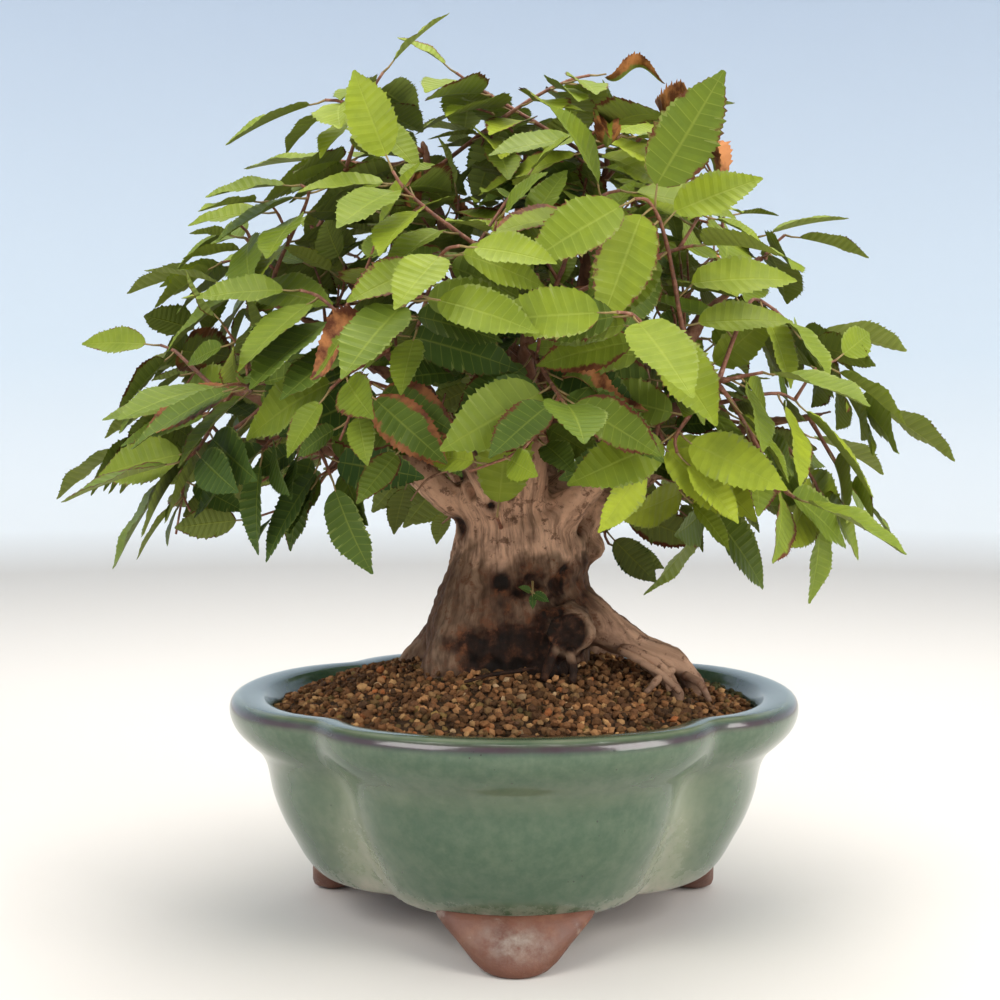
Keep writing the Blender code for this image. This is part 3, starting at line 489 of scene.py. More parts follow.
def makeGlaze():
    glaze = Finish("celadonGlaze")
    for socket, value in pot["glassy"].items():
        glaze.shader.inputs[socket].default_value = value
    paintedHighlight, line, lime = glaze.attribute("glazeHighlightAndMarks")[1:]
    cloud = glaze.noise(28, 5, 0.6)
    fine = glaze.noise(260, 3, 0.6)
    colour = glaze.mix(glaze.levels(cloud, 0.3, 0.7, 0.2, 0.8), pot["glazeDeep"], pot["glazeTone"])
    colour = glaze.coats(colour, (fine, 0.35, 0.75, 0.0, 0.16, pot["glazePale"]))
    # painted highlights: pale streaks in the creases, under the lip and on the rim's edge
    streaks = glaze.noise(60, 4, 0.6, glaze.stretched((1, 1, 0.25)))
    highlightShare = glaze.times(paintedHighlight, glaze.levels(streaks, 0.25, 0.65, 0.35, 1.0))
    colour = glaze.mix(highlightShare, colour, pot["glazePale"])
    lineShare = glaze.times(line, glaze.levels(glaze.noise(90), 0.3, 0.6, 0.7, 1.0))
    colour = glaze.mix(lineShare, colour, pot["rimLine"])
    limeShare = glaze.times(lime, glaze.levels(glaze.noise(170, 6, 0.7), 0.38, 0.62))
    colour = glaze.mix(glaze.times(limeShare, 0.75), colour, pot["limeTone"])
    specks = glaze.levels(glaze.cells(330), 0.10, 0.05)
    rare = glaze.levels(glaze.noise(75, 1), 0.58, 0.64)
    colour = glaze.mix(glaze.times(specks, rare), colour, pot["speckTone"])
    rough = glaze.mix(limeShare, (0.2, 0.2, 0.2), (0.7, 0.7, 0.7))
    skin = glaze.bump(glaze.noise(420, 2), 0.10, 0.4 * mm)
    return glaze.finish(colour, rough, glaze.bump(cloud, 0.25, 0.8 * mm, skin))


def makeClay():
    clay = Finish("bareClay")
    grain = clay.noise(700, 4, 0.7)
    patch = clay.noise(60, 6, 0.65)
    colour = clay.ramp(patch, (0.3, pot["clayDark"]), (0.55, pot["clayTone"]), (0.75, pot["clayPale"]))
    lime = clay.attribute("glazeHighlightAndMarks")[3]
    crust = clay.levels(clay.noise(110, 6, 0.7), 0.58, 0.72, 0.0, 0.45)
    washed = clay.times(lime, clay.levels(clay.noise(130, 6, 0.7), 0.40, 0.64, 0.0, 0.7))
    colour = clay.mix(clay.maths("MAXIMUM", crust, washed), colour, pot["limeTone"])
    return clay.finish(colour, clay.levels(patch, 0.3, 0.7, 0.38, 0.65), clay.bump(grain, 0.5, 0.6 * mm))


def makePot():
    body = makePotBody()
    paintPoints(body, "glazeHighlightAndMarks", glazeHighlightAndMarks)
    glaze, clay = makeGlaze(), makeClay()
    body.data.materials.append(glaze)
    body.data.materials.append(clay)
    bareRadius, bareHeight = pot["bareInside"]
    for face in body.data.polygons:
        level = (face.center.z - potAxis.z) / mm
        below = level < pot["underside"] + 0.2
        inside = math.hypot(face.center.x - potX, face.center.y - potY) < bareRadius * mm and level < bareHeight
        face.material_index = 1 if below or inside and face.normal.z > -0.2 else 0  # 1 is bare clay
    feet = [makeFoot(i, angle) for i, angle in enumerate(pot["footAngles"])]
    for foot in feet:
        paintPoints(foot, "glazeHighlightAndMarks", footMarks)
        foot.data.materials.append(clay)
    body = joinAll(body, feet)
    bpy.ops.object.shade_smooth()
    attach(body, "root")
    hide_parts("pot")


print("stage: pot")
makePot()

# Drain screen: it keeps its CAD form, with a dull plastic finish
screen = {"darkTone": (0.012, 0.013, 0.014), "paleTone": (0.03, 0.032, 0.034), "roughness": 0.55}
plastic = Finish("screenPlastic")
grit = plastic.noise(900, 3, 0.6)
screenColour = plastic.ramp(grit, (0.3, screen["darkTone"]), (0.7, screen["paleTone"]))
plastic.finish(screenColour, screen["roughness"], plastic.bump(grit, 0.4, 0.3 * mm))
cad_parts["drain_screen"].data.materials.clear()
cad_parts["drain_screen"].data.materials.append(plastic.material)


# Wood: the trunk, roots and branches, remeshed finely and carved
wood = {
    "voxel": 0.85,  # mm
    "smoothing": 8,
    "softness": 0.6,  # share that each round of smoothing takes away
    # sawn root scar that faces the front: its middle, radius, and how far its rim stands out
    "scar": ((16.9, -26.3, 90.2), 6.3, 1.5),
    # dents and knobs, which are moved onto the wood's surface: x, y, z, radius and push in mm
    "knobs": [(-8, -26, 113, 6, 1.0), (0, -26, 114, 6, 1.1), (8, -25, 113, 6, 1.0), (15, -22, 112, 5, 0.8),
              (-6, -26, 105.5, 3.4, -1.8), (1, -26, 104, 3.4, -2.6), (7, -25, 106, 3.0, -2.0),
              (15, -22, 104, 3.6, -2.0), (3.5, -24, 107.5, 2.6, 1.8), (11.5, -22, 107, 2.6, 1.6),
              (-2.5, -24, 101, 2.4, 1.5), (10, -24, 102, 2.6, 1.8), (4, -24, 98.5, 2.6, 1.4),
              (14, -21, 100.5, 2.4, -1.8), (18, -19, 108, 2.6, -1.8), (19, -18, 113, 2.6, 1.2),
              (9.5, -28, 92, 4.2, -5.0), (7.5, -27, 85.5, 4.2, -4.2), (11, -27, 98.5, 3.6, -3.6),
              (24.5, -22, 84, 4.0, -2.6), (1.5, -26, 79.5, 4.4, -2.4), (-6, -25, 79, 4.4, -2.0),
              (-13.5, -23, 78.6, 4.0, -1.5), (-20, -16, 86, 6, 1.2), (-12, -22, 92, 8, 1.0),
              (-18, -8, 121, 3.5, -2.0), (24, 0, 114, 5, 1.0), (27, 0, 113, 3.5, 1.8),
              (20.9, -7.1, 121.1, 2.8, -2.8), (-18.2, -1, 136.3, 2.8, -2.6), (-6.9, -20.5, 127.8, 3.4, 1.8),
              (-6.9, -22.5, 127.8, 1.5, -2.8), (-3, -20, 122, 2.0, 0.7), (12, -16, 124, 4, 1.0),
              (5, -18, 119, 1.6, -0.8)],
    # fine roots: points in mm from the pot's axis, each with a radius
    "roots": [[(12.5, -27.5, 86, 1.5), (10.5, -30.0, 81, 1.4), (8.5, -32.0, 76, 1.1)],
              [(17.0, -27.5, 85, 1.6), (17.6, -31.0, 80.5, 1.3), (17.8, -33.0, 75.5, 1.0)],
              [(-15, -38.5, 76.9, 0.45), (-8, -35.5, 78.4, 0.6), (0, -31.5, 79.0, 0.6), (7, -30.0, 79.8, 0.5)],
              [(34, -12, 84, 1.4), (42, -18.8, 80.6, 1.7), (46.5, -23.5, 77.0, 1.4), (47.5, -26.5, 72.0, 1.0)],
              [(33, -14, 83, 1.1), (39, -19.5, 80.5, 1.2), (44, -24.5, 77.8, 1.1), (50.5, -28, 72.0, 0.9)],
              [(49, -20, 78, 1.3), (44.5, -25.5, 76.0, 1.2), (40, -28.5, 72.0, 0.8)],
              [(53, -17, 75.5, 1.4), (57.5, -21, 73.4, 1.2), (60, -24, 68.5, 0.8)]],
    "rootWobble": 0.35,  # mm
    "rootSides": 9,
    "barkPale": (0.36, 0.215, 0.130),
    "barkMid": (0.235, 0.130, 0.076),
    "barkDark": (0.070, 0.034, 0.020),
    "barkNeck": (0.69, 0.410, 0.268),
    "barkWorn": (0.46, 0.31, 0.20),
    "lichen": (0.33, 0.28, 0.20),
    "fleck": (0.090, 0.036, 0.020),
    "redTones": ((0.09, 0.038, 0.024), (0.20, 0.080, 0.045), (0.36, 0.20, 0.13)),
    # dark rotten wood with painted shade, and the near-black painted shade of the hollows
    "rotAndShadeTones": ((0.007, 0.003, 0.002), (0.036, 0.012, 0.005), (0.17, 0.060, 0.024)),
    "hollowShadeTone": (0.008, 0.005, 0.003),
}


def makeWoodForm():
    form = putInScene("woodFine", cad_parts["wood"].data.copy())
    makeActive(form)
    editAll()
    bpy.ops.mesh.remove_doubles(threshold=mergeGap)
    bpy.ops.object.mode_set(mode="OBJECT")
    form.data.remesh_voxel_size = wood["voxel"] * mm
    bpy.ops.object.voxel_remesh()
    soften = form.modifiers.new("soften", "SMOOTH")
    soften.factor = wood["softness"]
    soften.iterations = wood["smoothing"]
    bpy.ops.object.modifier_apply(modifier=soften.name)
    return form


def grainAt(place):
    # long ridges that follow the wood: upright on the trunk, sweeping out over the roots
    sweep = smoothStep(112, 78, place.z)
    turn = math.atan2(place.y, place.x) * (18 + 10 * sweep)
    lean = place.z * (0.055 - 0.02 * sweep) + 0.02 * place.x * sweep
    return noise.noise(Vector((turn * 0.42, lean, math.hypot(place.x, place.y) * 0.05)))


def seatKnobs(form):
    # the dents and knobs, moved onto the surface
    tree = surfaceTree(form.data)
    seated = []
    for x, y, z, radius, rise in wood["knobs"]:
        near = tree.find_nearest(potAxis + Vector((x, y, z)) * mm)[0]
        seated.append(((near - potAxis) / mm, radius, rise))
    return seated


def scarDistance(spot):
    # mm from the middle of the sawn scar, and far for points that aren't on the front of the trunk
    middle = wood["scar"][0]
    return math.hypot(spot.x - middle[0], (spot.z - middle[2]) / 1.1) if spot.y < -17 else 99.0


def carveWood(form):
    # pushes each point along its normal by lumps, grain and knobs, and presses the scar flat
    normals = [vertex.normal.copy() for vertex in form.data.vertices]
    scarMiddle, scarRadius, scarRim = wood["scar"]
    for vertex, normal in zip(form.data.vertices, normals):
        place = (vertex.co - potAxis) / mm
        # 1 on the trunk and 0 out on the limbs, then 1 on the rotten front below the neck
        trunk = smoothStep(142, 126, place.z) * smoothStep(75, 45, math.hypot(place.x, place.y))
        rough = smoothStep(119, 108, place.z) * smoothStep(-22, -10, place.x) * smoothStep(28, 20, place.x)
        lump = bumps(place, (12, 1.4), (5.0, 0.45 + 0.8 * rough), (2.6, 0.9 * rough)) * trunk
        limbGrain = Vector((place.x / 2.6, place.y / 2.6, place.z / 11))
        ridge = (0.5 - abs(grainAt(place)) * 2.2) * 0.40 * trunk
        ridge += (0.4 - abs(noise.noise(limbGrain)) * 1.6) * 0.35 * (1 - 0.6 * trunk)
        push = lump + ridge + bumps(place, (1.5, 0.18), (0.9, 0.08)) - 0.1
        for spot, radius, rise in knobSpots:
            away = (place - spot).length / radius
            if away < 2:
                push += rise * math.exp(-away * away * 1.6)
        across = scarDistance(place)
        vertex.co += normal * push * mm
        if across < scarRadius + 2:
            rim = scarRim * math.exp(-((across - scarRadius) / 0.8) ** 2)
            level = potY + (scarMiddle[1] - rim + bumps(place, (1.7, 1.3))) * mm
            vertex.co.y += (level - vertex.co.y) * smoothStep(scarRadius + 2, scarRadius + 0.4, across)


def addFineRoots(form):
    made = []
    for path in wood["roots"]:
        rows = smoothCurvePoints(path, 4)
        spots = []
        for x, y, z, radius in rows:
            wobble = Vector([noise.noise(Vector((x + shift, y, z)) / 3) for shift in (0, 31, 67)])
            spots.append(potAxis + (Vector((x, y, z)) + wood["rootWobble"] * wobble) * mm)
        radii = [row[3] * mm * (1 + 0.12 * (i % 2)) for i, row in enumerate(rows)]
        root = tubeMesh("fineRoot", spots, radii, wood["rootSides"])
        root.data.uv_layers.remove(root.data.uv_layers[0])
        made.append(root)
    joinAll(form, made)


def barkFlow(place):
    # where a point lies along the grain: the grain runs up the trunk and out along its roots
    spot = (place - potAxis) / mm
    turn = math.atan2(spot.y, spot.x) + 0.004 * (spot.z - 80)
    return 0.026 * math.cos(turn), 0.026 * math.sin(turn), 0.0002 * spot.z + 0.00005 * math.hypot(spot.x, spot.y)


def barkMarksAndShade(place):
    # share of thin reddish wood, of dark rot mixed with painted shade, and of smooth pale neck
    spot = (place - potAxis) / mm
    fromAxis = math.hypot(spot.x, spot.y)
    thin = smoothStep(130, 160, spot.z + 0.25 * fromAxis - 10)
    ragged = spot.z + bumps(spot, (7, 7), (2.8, 3.5), (1.3, 2.5))  # height, with a torn edge
    scarRadius = wood["scar"][1]
    across = scarDistance(spot)
    rotAndShade = smoothStep(scarRadius, scarRadius - 1.6, across) * 0.97
    # the dents: rot, and painted shade in the hollows
    for knob, radius, rise in knobSpots:
        if rise < 0:
            core = 1.5 * math.exp(-((spot - knob).length / radius / 1.15) ** 2)
            rotAndShade = max(rotAndShade, min(1.0, -0.6 * rise) * min(1.0, core))
    onRing = math.exp(-((across - scarRadius) / 1.1) ** 2)  # the scar's pale rim stays clean
    flank = smoothStep(-40, -26, spot.x)
    rightRoot = smoothStep(21, 29, spot.x)
    # painted shade under the brow of the neck, across the front of the trunk, mixed with dark rotten wood
    under = smoothStep(118, 104, ragged) * smoothStep(60, 45, fromAxis) * flank * (1 - rightRoot)
    aside = spot.x + bumps(spot, (6, 6), (2, 2.5))
    middle = smoothStep(-29, -13, aside) * smoothStep(30, 20, aside)
    patchy = 1 + bumps(spot, (4, 0.5), (1.6, 0.4))
    rotAndShade = max(rotAndShade, under * (0.44 + 0.26 * smoothStep(-14, 8, spot.x)) * (1 - 0.8 * onRing) * patchy)
    # painted shade low on the front around the scar, mixed with rot
    rotAndShade = max(rotAndShade, 0.97 * middle * smoothStep(106, 86, ragged) * smoothStep(-8, -18, spot.y) * (1 - 0.7 * onRing))
    rotAndShade = max(rotAndShade, 0.4 * smoothStep(80, 74, spot.z))  # darker low on the wood, just above the soil
    # the smooth bark of the neck, and a little of it on the right root
    neck = max(smoothStep(109, 116, ragged) * smoothStep(150, 130, spot.z), 0.55 * rightRoot * (1 - thin))
    return thin, rotAndShade, neck


def makeBark():
    bark = Finish("hornbeamBark")
    thin, rotAndShade, neck = bark.attribute("barkMarksAndShade")[1:]
    grainPlace = bark.attribute("barkFlow")[0]
    grain = bark.noise(460, 7, 0.66, grainPlace)
    bands = bark.noise(95, 6, 0.62, grainPlace)
    blotch = bark.noise(48, 6, 0.62)
    spots = bark.noise(240, 5, 0.7)
    colour = bark.ramp(bands, (0.28, wood["barkDark"]), (0.43, wood["barkMid"]), (0.58, wood["barkPale"]),
                       (0.76, wood["barkWorn"]))
    neckShare = bark.times(neck, bark.levels(blotch, 0.32, 0.58, 0.55, 0.95))
    colour = bark.mix(neckShare, colour, wood["barkNeck"])
    colour = bark.coats(colour, (grain, 0.38, 0.56, 0.62, 0.0, wood["barkDark"]),
                        (blotch, 0.60, 0.74, 0.0, 0.3, wood["lichen"]), (spots, 0.55, 0.62, 0.0, 0.75, wood["fleck"]))
    reds = bark.ramp(grain, *zip((0.3, 0.55, 0.75), wood["redTones"]))
    colour = bark.mix(bark.times(thin, 0.7), colour, reds)
    # rotten wood, darkened further by painted shade
    rotAndShadeShare = bark.times(rotAndShade, bark.levels(blotch, 0.25, 0.55, 0.85, 1.15))
    colour = bark.mix(rotAndShadeShare, colour, bark.ramp(spots, *zip((0.33, 0.52, 0.68), wood["rotAndShadeTones"])))
    # near black where the share is highest: painted shade in the hollows
    colour = bark.coats(colour, (rotAndShade, 0.90, 1.0, 0.0, 0.92, wood["hollowShadeTone"]))
    bark.shader.inputs["Specular IOR Level"].default_value = 0.2
    normal = bark.bump(grain, 0.6, 0.8 * mm)
    normal = bark.bump(spots, 0.5, 0.5 * mm, normal)
    normal = bark.bump(bark.cells(750), 0.2, 0.3 * mm, normal)
    return bark.finish(colour, bark.levels(grain, 0.3, 0.7, 0.9, 0.66), normal)


print("stage: wood")
woodForm = makeWoodForm()
knobSpots = seatKnobs(woodForm)
carveWood(woodForm)
addFineRoots(woodForm)
paintPoints(woodForm, "barkMarksAndShade", barkMarksAndShade)
paintPoints(woodForm, "barkFlow", barkFlow)
barkFinish = makeBark()
woodForm.data.materials.clear()
woodForm.data.materials.append(barkFinish)
makeActive(woodForm)
bpy.ops.object.shade_smooth()
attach(woodForm, "root")
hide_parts("wood")


# Soil: a mound with loose baked clay grains all over it
soil = {
    "edgeRadius": 76.6,
    "edgeHeight": 64.0,
    "rise": 16.0,
    "rings": 34,
    "ringPoints": 160,
    "moundSink": 1.6,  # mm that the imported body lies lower
    "skirt": ((0.985, -14.0), (0.95, -14.0), (0.84, -16.0)),  # how its side narrows, and drops in mm
    "spacing": 2.55,  # mm between grains
    "jitter": 0.35,  # share of the spacing that a grain strays
    "grainSize": (0.95, 2.05),  # about half across, in mm
    "grainSink": 1.3,  # mm
    "grainKinds": 8,
    "topLayer": 0.42,  # share of places that carry a second grain
    "topLift": 1.5,  # mm
    "topSize": 0.82,  # size of a second grain as a share
    "seed": 12,
    # the mound under the grains is near black: painted shade in the gaps between them
    "moundShadeTone": (0.020, 0.010, 0.005),
    "dustTone": (0.33, 0.18, 0.070),
    "dampTone": (0.030, 0.015, 0.008),
    "oliveTone": (0.085, 0.080, 0.022),
    "mossTone": (0.032, 0.040, 0.012),
    "mossPlace": (62, 14),  # mm from the pot's axis, beside the right root
    "tones": [(0.135, 0.056, 0.022), (0.19, 0.080, 0.030), (0.26, 0.125, 0.050), (0.085, 0.036, 0.016),
              (0.34, 0.185, 0.075), (0.050, 0.024, 0.013), (0.15, 0.092, 0.028), (0.30, 0.095, 0.030),
              (0.42, 0.27, 0.14)],
}


def soilHeight(radius):
    return soil["edgeHeight"] + soil["rise"] * (1 - (radius / soil["edgeRadius"]) ** 2)


def makeGrainShapes(draw):
    # a few broken lumps of twenty faces
    shapes = []
    for number in range(soil["grainKinds"]):
        deselectAll()
        bpy.ops.mesh.primitive_ico_sphere_add(subdivisions=1, radius=0.95)
        grain = takeNew(f"grain{number}")
        for vertex in grain.data.vertices:
            vertex.co *= draw.uniform(0.72, 1.15)
        grain.data.transform(Matrix.Diagonal((draw.uniform(0.8, 1.2), draw.uniform(0.8, 1.15),
                                              draw.uniform(0.7, 1.0), 1)))
        points = [vertex.co.copy() for vertex in grain.data.vertices]
        shapes.append((points, [tuple(face.vertices) for face in grain.data.polygons]))
        bpy.data.objects.remove(grain)
    return shapes


def makeMound():
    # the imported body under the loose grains
    rings = soil["rings"]
    edge = soil["edgeRadius"]
    deselectAll()
    level = (soilHeight(edge) - soil["moundSink"]) * mm
    bpy.ops.mesh.primitive_circle_add(vertices=soil["ringPoints"], radius=edge * mm, location=(0, 0, level))
    mound = takeNew("soilFine")
    editAll()
    for ring in range(1, rings):
        before, after = edge * (1 - (ring - 1) / rings), edge * (1 - ring / rings)
        extrudeRing((soilHeight(after) - soilHeight(before)) * mm, after / before)
    bpy.ops.mesh.merge(type="CENTER")
    bpy.ops.mesh.select_all(action="SELECT")
    bpy.ops.mesh.normals_make_consistent(inside=False)
    bpy.ops.mesh.select_all(action="DESELECT")
    bpy.ops.mesh.select_non_manifold()
    for widen, drop in soil["skirt"]:
        extrudeRing(drop * mm, widen)
    bpy.ops.mesh.edge_face_add()
    closeEdit()
    pressLobes(mound)
    mound.data.transform(Matrix.Translation(potAxis))
    for vertex in mound.data.vertices:
        if vertex.co.z > soil["edgeHeight"] * mm:
            vertex.co.z += bumps(vertex.co, (3.5 * mm, 0.7 * mm))
    return mound


def makeGrains(woodTree):
    draw = random.Random(soil["seed"])
    shapes = makeGrainShapes(draw)
    points, faces, tones = [], [], []
    step = soil["spacing"]
    stray = soil["jitter"]
    reach = soil["edgeRadius"]
    rows = int(reach / step) + 2
    spots = []
    for row in range(-rows, rows + 1):
        for column in range(-rows, rows + 1):
            x = (column + 0.5 * (row % 2)) * step + draw.uniform(-stray, stray) * step
            y = row * step * 0.87 + draw.uniform(-stray, stray) * step
            spots.append((x, y, 0.0))
            if draw.random() < soil["topLayer"]:
                spots.append((x + draw.uniform(-1, 1) * step, y + draw.uniform(-1, 1) * step, soil["topLift"]))
    for x, y, lift in spots:
        angle = math.atan2(y / pot["squeeze"], x)
        limit = (reach - 1.0) * (1 - grooveCut(angle, soil["edgeHeight"]))
        radius = math.hypot(x, y / pot["squeeze"])
        if radius > limit:
            continue
        size = draw.uniform(*soil["grainSize"]) * (soil["topSize"] if lift else 1.0)
        place = potAxis + Vector((x, y, soilHeight(radius * reach / limit) - soil["grainSink"] + lift)) * mm
        near, normal = woodTree.find_nearest(place)[:2]
        if (place - near).dot(normal) < 0.3 * mm:
            continue
        turn = Matrix.Rotation(draw.uniform(0, 6.3), 4, "Z") @ Matrix.Rotation(draw.uniform(-0.9, 0.9), 4, "X")
        move = Matrix.Translation(place) @ turn @ Matrix.Scale(size * mm, 4)
        shapePoints, shapeFaces = shapes[draw.randrange(len(shapes))]
        start = len(points)
        points.extend(move @ point for point in shapePoints)
        faces.extend(tuple(start + i for i in face) for face in shapeFaces)
        tone = soil["tones"][min(int(abs(draw.gauss(0, 3.2))), len(soil["tones"]) - 1)]
        shade = draw.uniform(0.30, 1.75)
        mossX, mossY = soil["mossPlace"]
        if draw.random() < smoothStep(17, 8, math.hypot(x - mossX, y - mossY)):
            tone, shade = soil["mossTone"], draw.uniform(0.4, 1.3)
        tones.extend([tuple(c * shade for c in tone) + (1.0,)] * len(shapePoints))
    mesh = bpy.data.meshes.new("soilGrains")
    mesh.from_pydata(points, [], faces)
    layer = mesh.color_attributes.new(name="grainTone", type="FLOAT_COLOR", domain="POINT")
    layer.data.foreach_set("color", [c for tone in tones for c in tone])
    return putInScene("soilGrains", mesh)


def makeSoilFinish():
    earth = Finish("bakedClayGrains")
    tone = earth.attribute("grainTone")[0]
    dust = earth.noise(900, 5, 0.7)
    colour = earth.coats(tone, (dust, 0.35, 0.75, 0.0, 0.2, soil["dustTone"]),
                         (earth.noise(45, 4, 0.6), 0.45, 0.7, 0.0, 0.45, soil["dampTone"]),
                         (earth.noise(70, 4, 0.6), 0.58, 0.72, 0.0, 0.5, soil["oliveTone"]))
    earth.shader.inputs["Specular IOR Level"].default_value = 0.2
    return earth.finish(colour, 0.92, earth.bump(dust, 0.6, 0.4 * mm))


print("stage: soil")
woodTree = surfaceTree(woodForm.data)
mound = makeMound()
# the mound is painted near black, as shade between the grains
paintPoints(mound, "grainTone", lambda place: soil["moundShadeTone"])
soilFinish = makeSoilFinish()
mound.data.materials.append(soilFinish)
grains = makeGrains(woodTree)
grains.data.materials.append(soilFinish)
for piece in (mound, grains):
    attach(piece, "root")
    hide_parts("soil")
print("grain triangles", sum(len(face.vertices) - 2 for face in grains.data.polygons))


# Leaves: each CAD blade's place is read from its node and a finer leaf is laid there
leaf = {
    "heart": 0.45,  # where the CAD blade's two middle points stand along it
    "thick": 1.0,  # mm between those two points
    "thickSlack": 0.06,  # mm
    "hubEdges": 11,  # edges that meet at a middle point, at least
    "hubShared": 9,  # neighbours that the two middle points of a blade share, at least
    "veins": 11.0,
    "droop": 0.13,
    "droopSpread": (-0.02, 0.03),
    "fold": 17.0,  # degrees
    "foldSpread": (-5, 4),
    "wave": (0.006, 0.020),
    "twist": (-0.35, 0.35),
    "stalk": 4.6,  # mm
    "stalkRadii": (0.42, 0.32, 0.28),
    "stalkSides": 5,
    "stalkShift": ((0.2, 1.0), (2.4, 4.2)),  # mm: a stalk starts a little or well below its joint
    "slant": 0.075,  # how far forward the rows reach at the margin, as a share of the length
    "halfWidth": 0.270,
    "rows": 22,
    "smallRows": 14,
    "kinds": 4,
    "blade": 0.34,  # mm thick
    "usualLength": 27,  # mm
    "pleat": 0.0035,  # rise and fall between side veins, as a share of the length
    # reach of the margin's points outward and forward: a valley, a small tooth, a valley, a large tooth
    "teeth": [(-0.055, 0.000), (0.010, 0.004), (-0.020, 0.004), (0.075, 0.012)],
    "curledShare": 0.022,  # share of leaves that are dry and rolled up
    "seed": 7,
    # leaves of their own tone, by place in the picture: x, y, reach, tone, scorch and lime
    "spots": [(640, 492, 26, 1.0, 0.0, 0.9), (700, 482, 30, 1.0, 0.35, 1.0), (830, 430, 30, 0.9, 0.2, 0.8),
              (368, 120, 34, 1.0, 0.0, 0.25), (505, 465, 30, 0.8, 0.0, 0.2), (688, 125, 40, 0.55, 0.5, 0.0),
              (420, 430, 26, 0.3, 0.9, 0.0), (250, 480, 50, 0.1, 0.1, 0.0)],
    # deep and fresh are mixed by the leafTone's first share, which carries the painted light and shade of the crown
    "freshTone": (0.200, 0.250, 0.014),
    "deepTone": (0.042, 0.082, 0.018),
    "limeTone": (0.36, 0.42, 0.032),
    "veinTone": (0.32, 0.37, 0.055),
    "underTone": (0.23, 0.27, 0.070),
    "scorchTone": (0.110, 0.034, 0.015),
    "dryTone": (0.47, 0.19, 0.065),
    "stalkTones": ((0.10, 0.042, 0.028), (0.22, 0.075, 0.035), (0.40, 0.25, 0.16)),
    "stalkGreen": (0.32, 0.30, 0.08),
    # tone, scorch and green of twigs and of leaf stalks
    "twigMarks": (0.5, 0.6, 0.0),
    "stalkMarks": (0.5, 0.3, 0.45),
    "limeShare": 0.06,  # share of leaves that are fresh yellow-green
    # shade in the picture under the front of the crown: middle and reach, across and down, and how dark
    "shade": (520, 400, 130, 55, 0.55),
    # painted light to the right of the crown and painted shade to its left: where across the picture the leaves grow
    # lighter or darker, from and to, and by how much
    "paintedLightRight": (560, 760, 0.16),
    "paintedShadeLeft": (420, 250, -0.05),
}


def bladeHalf(s):
    # half width of the blade along its length, full and round at the base, drawn out to a point
    if s <= 0 or s >= 1:
        return 0.0
    return leaf["halfWidth"] * math.sin(math.pi * s ** 0.68) ** 0.80 * (1 - 0.16 * s)


def makeLeafShape(name, rows, draw):
    # one flat leaf of unit length, toothed twice over, its rows slanting forward as its side veins do
    deselectAll()
    bpy.ops.mesh.primitive_grid_add(x_subdivisions=rows, y_subdivisions=2, size=1, location=(0.5, 0, 0))
    blade = takeNew(name)
    bpy.ops.object.mode_set(mode="EDIT")
    bpy.ops.mesh.select_all(action="DESELECT")
    bpy.ops.mesh.select_mode(type="EDGE")
    work = bmesh.from_edit_mesh(blade.data)
    for edge in work.edges:
        edge.select_set(all(abs(abs(v.co.y) - 0.5) < 1e-4 for v in edge.verts))
    bmesh.update_edit_mesh(blade.data)
    bpy.ops.mesh.subdivide(number_cuts=1, smoothness=0)
    bpy.ops.object.mode_set(mode="OBJECT")
    for vertex in blade.data.vertices:
        s, across = vertex.co.x, vertex.co.y * 2
        halfRow = round(s * rows * 2)
        half = max(bladeHalf(s), 0.005)
        inner = 0 < halfRow < rows * 2
        if abs(across) > 0.9 and inner:
            out, forward = leaf["teeth"][halfRow % 4]
            half *= 1 + out * draw.uniform(0.5, 1.6)
            vertex.co.x += forward * draw.uniform(0.4, 1.6)
        vertex.co.x += leaf["slant"] * abs(across) * math.sin(math.pi * min(1, s * 1.1)) if inner else 0
        vertex.co.y = across * half
        pleat = (1, 0, -1, 0)[halfRow % 4]
        vertex.co.z = leaf["pleat"] * pleat * abs(across) if inner else 0
    # the underside is a copy that meets the upper side along the margin
    bpy.ops.object.mode_set(mode="EDIT")
    bpy.ops.mesh.select_mode(type="VERT")
    bpy.ops.mesh.select_all(action="SELECT")
    bpy.ops.mesh.duplicate()
    bpy.ops.mesh.flip_normals()
    bpy.ops.object.mode_set(mode="OBJECT")
    for vertex in blade.data.vertices:
        if vertex.select and vertex.co.y == 0 and 0.01 < vertex.co.x < 0.99:
            vertex.co.z -= leaf["blade"] / leaf["usualLength"]  # the shape is one unit long
    for face in blade.data.polygons:
        face.material_index = 1 if face.select else 0
    bpy.ops.object.mode_set(mode="EDIT")
    bpy.ops.mesh.select_all(action="SELECT")
    bpy.ops.mesh.remove_doubles(threshold=mergeGap)
    bpy.ops.mesh.select_all(action="DESELECT")
    bpy.ops.mesh.select_mode(type="EDGE")
    bpy.ops.mesh.edges_select_sharp(sharpness=math.radians(75))
    bpy.ops.mesh.mark_sharp()
    bpy.ops.object.mode_set(mode="OBJECT")
    return blade


def mergedNode(node):
    work = bmesh.new()
    work.from_mesh(node.data)
    bmesh.ops.remove_doubles(work, verts=work.verts, dist=mergeGap)
    work.verts.ensure_lookup_table()
    return work


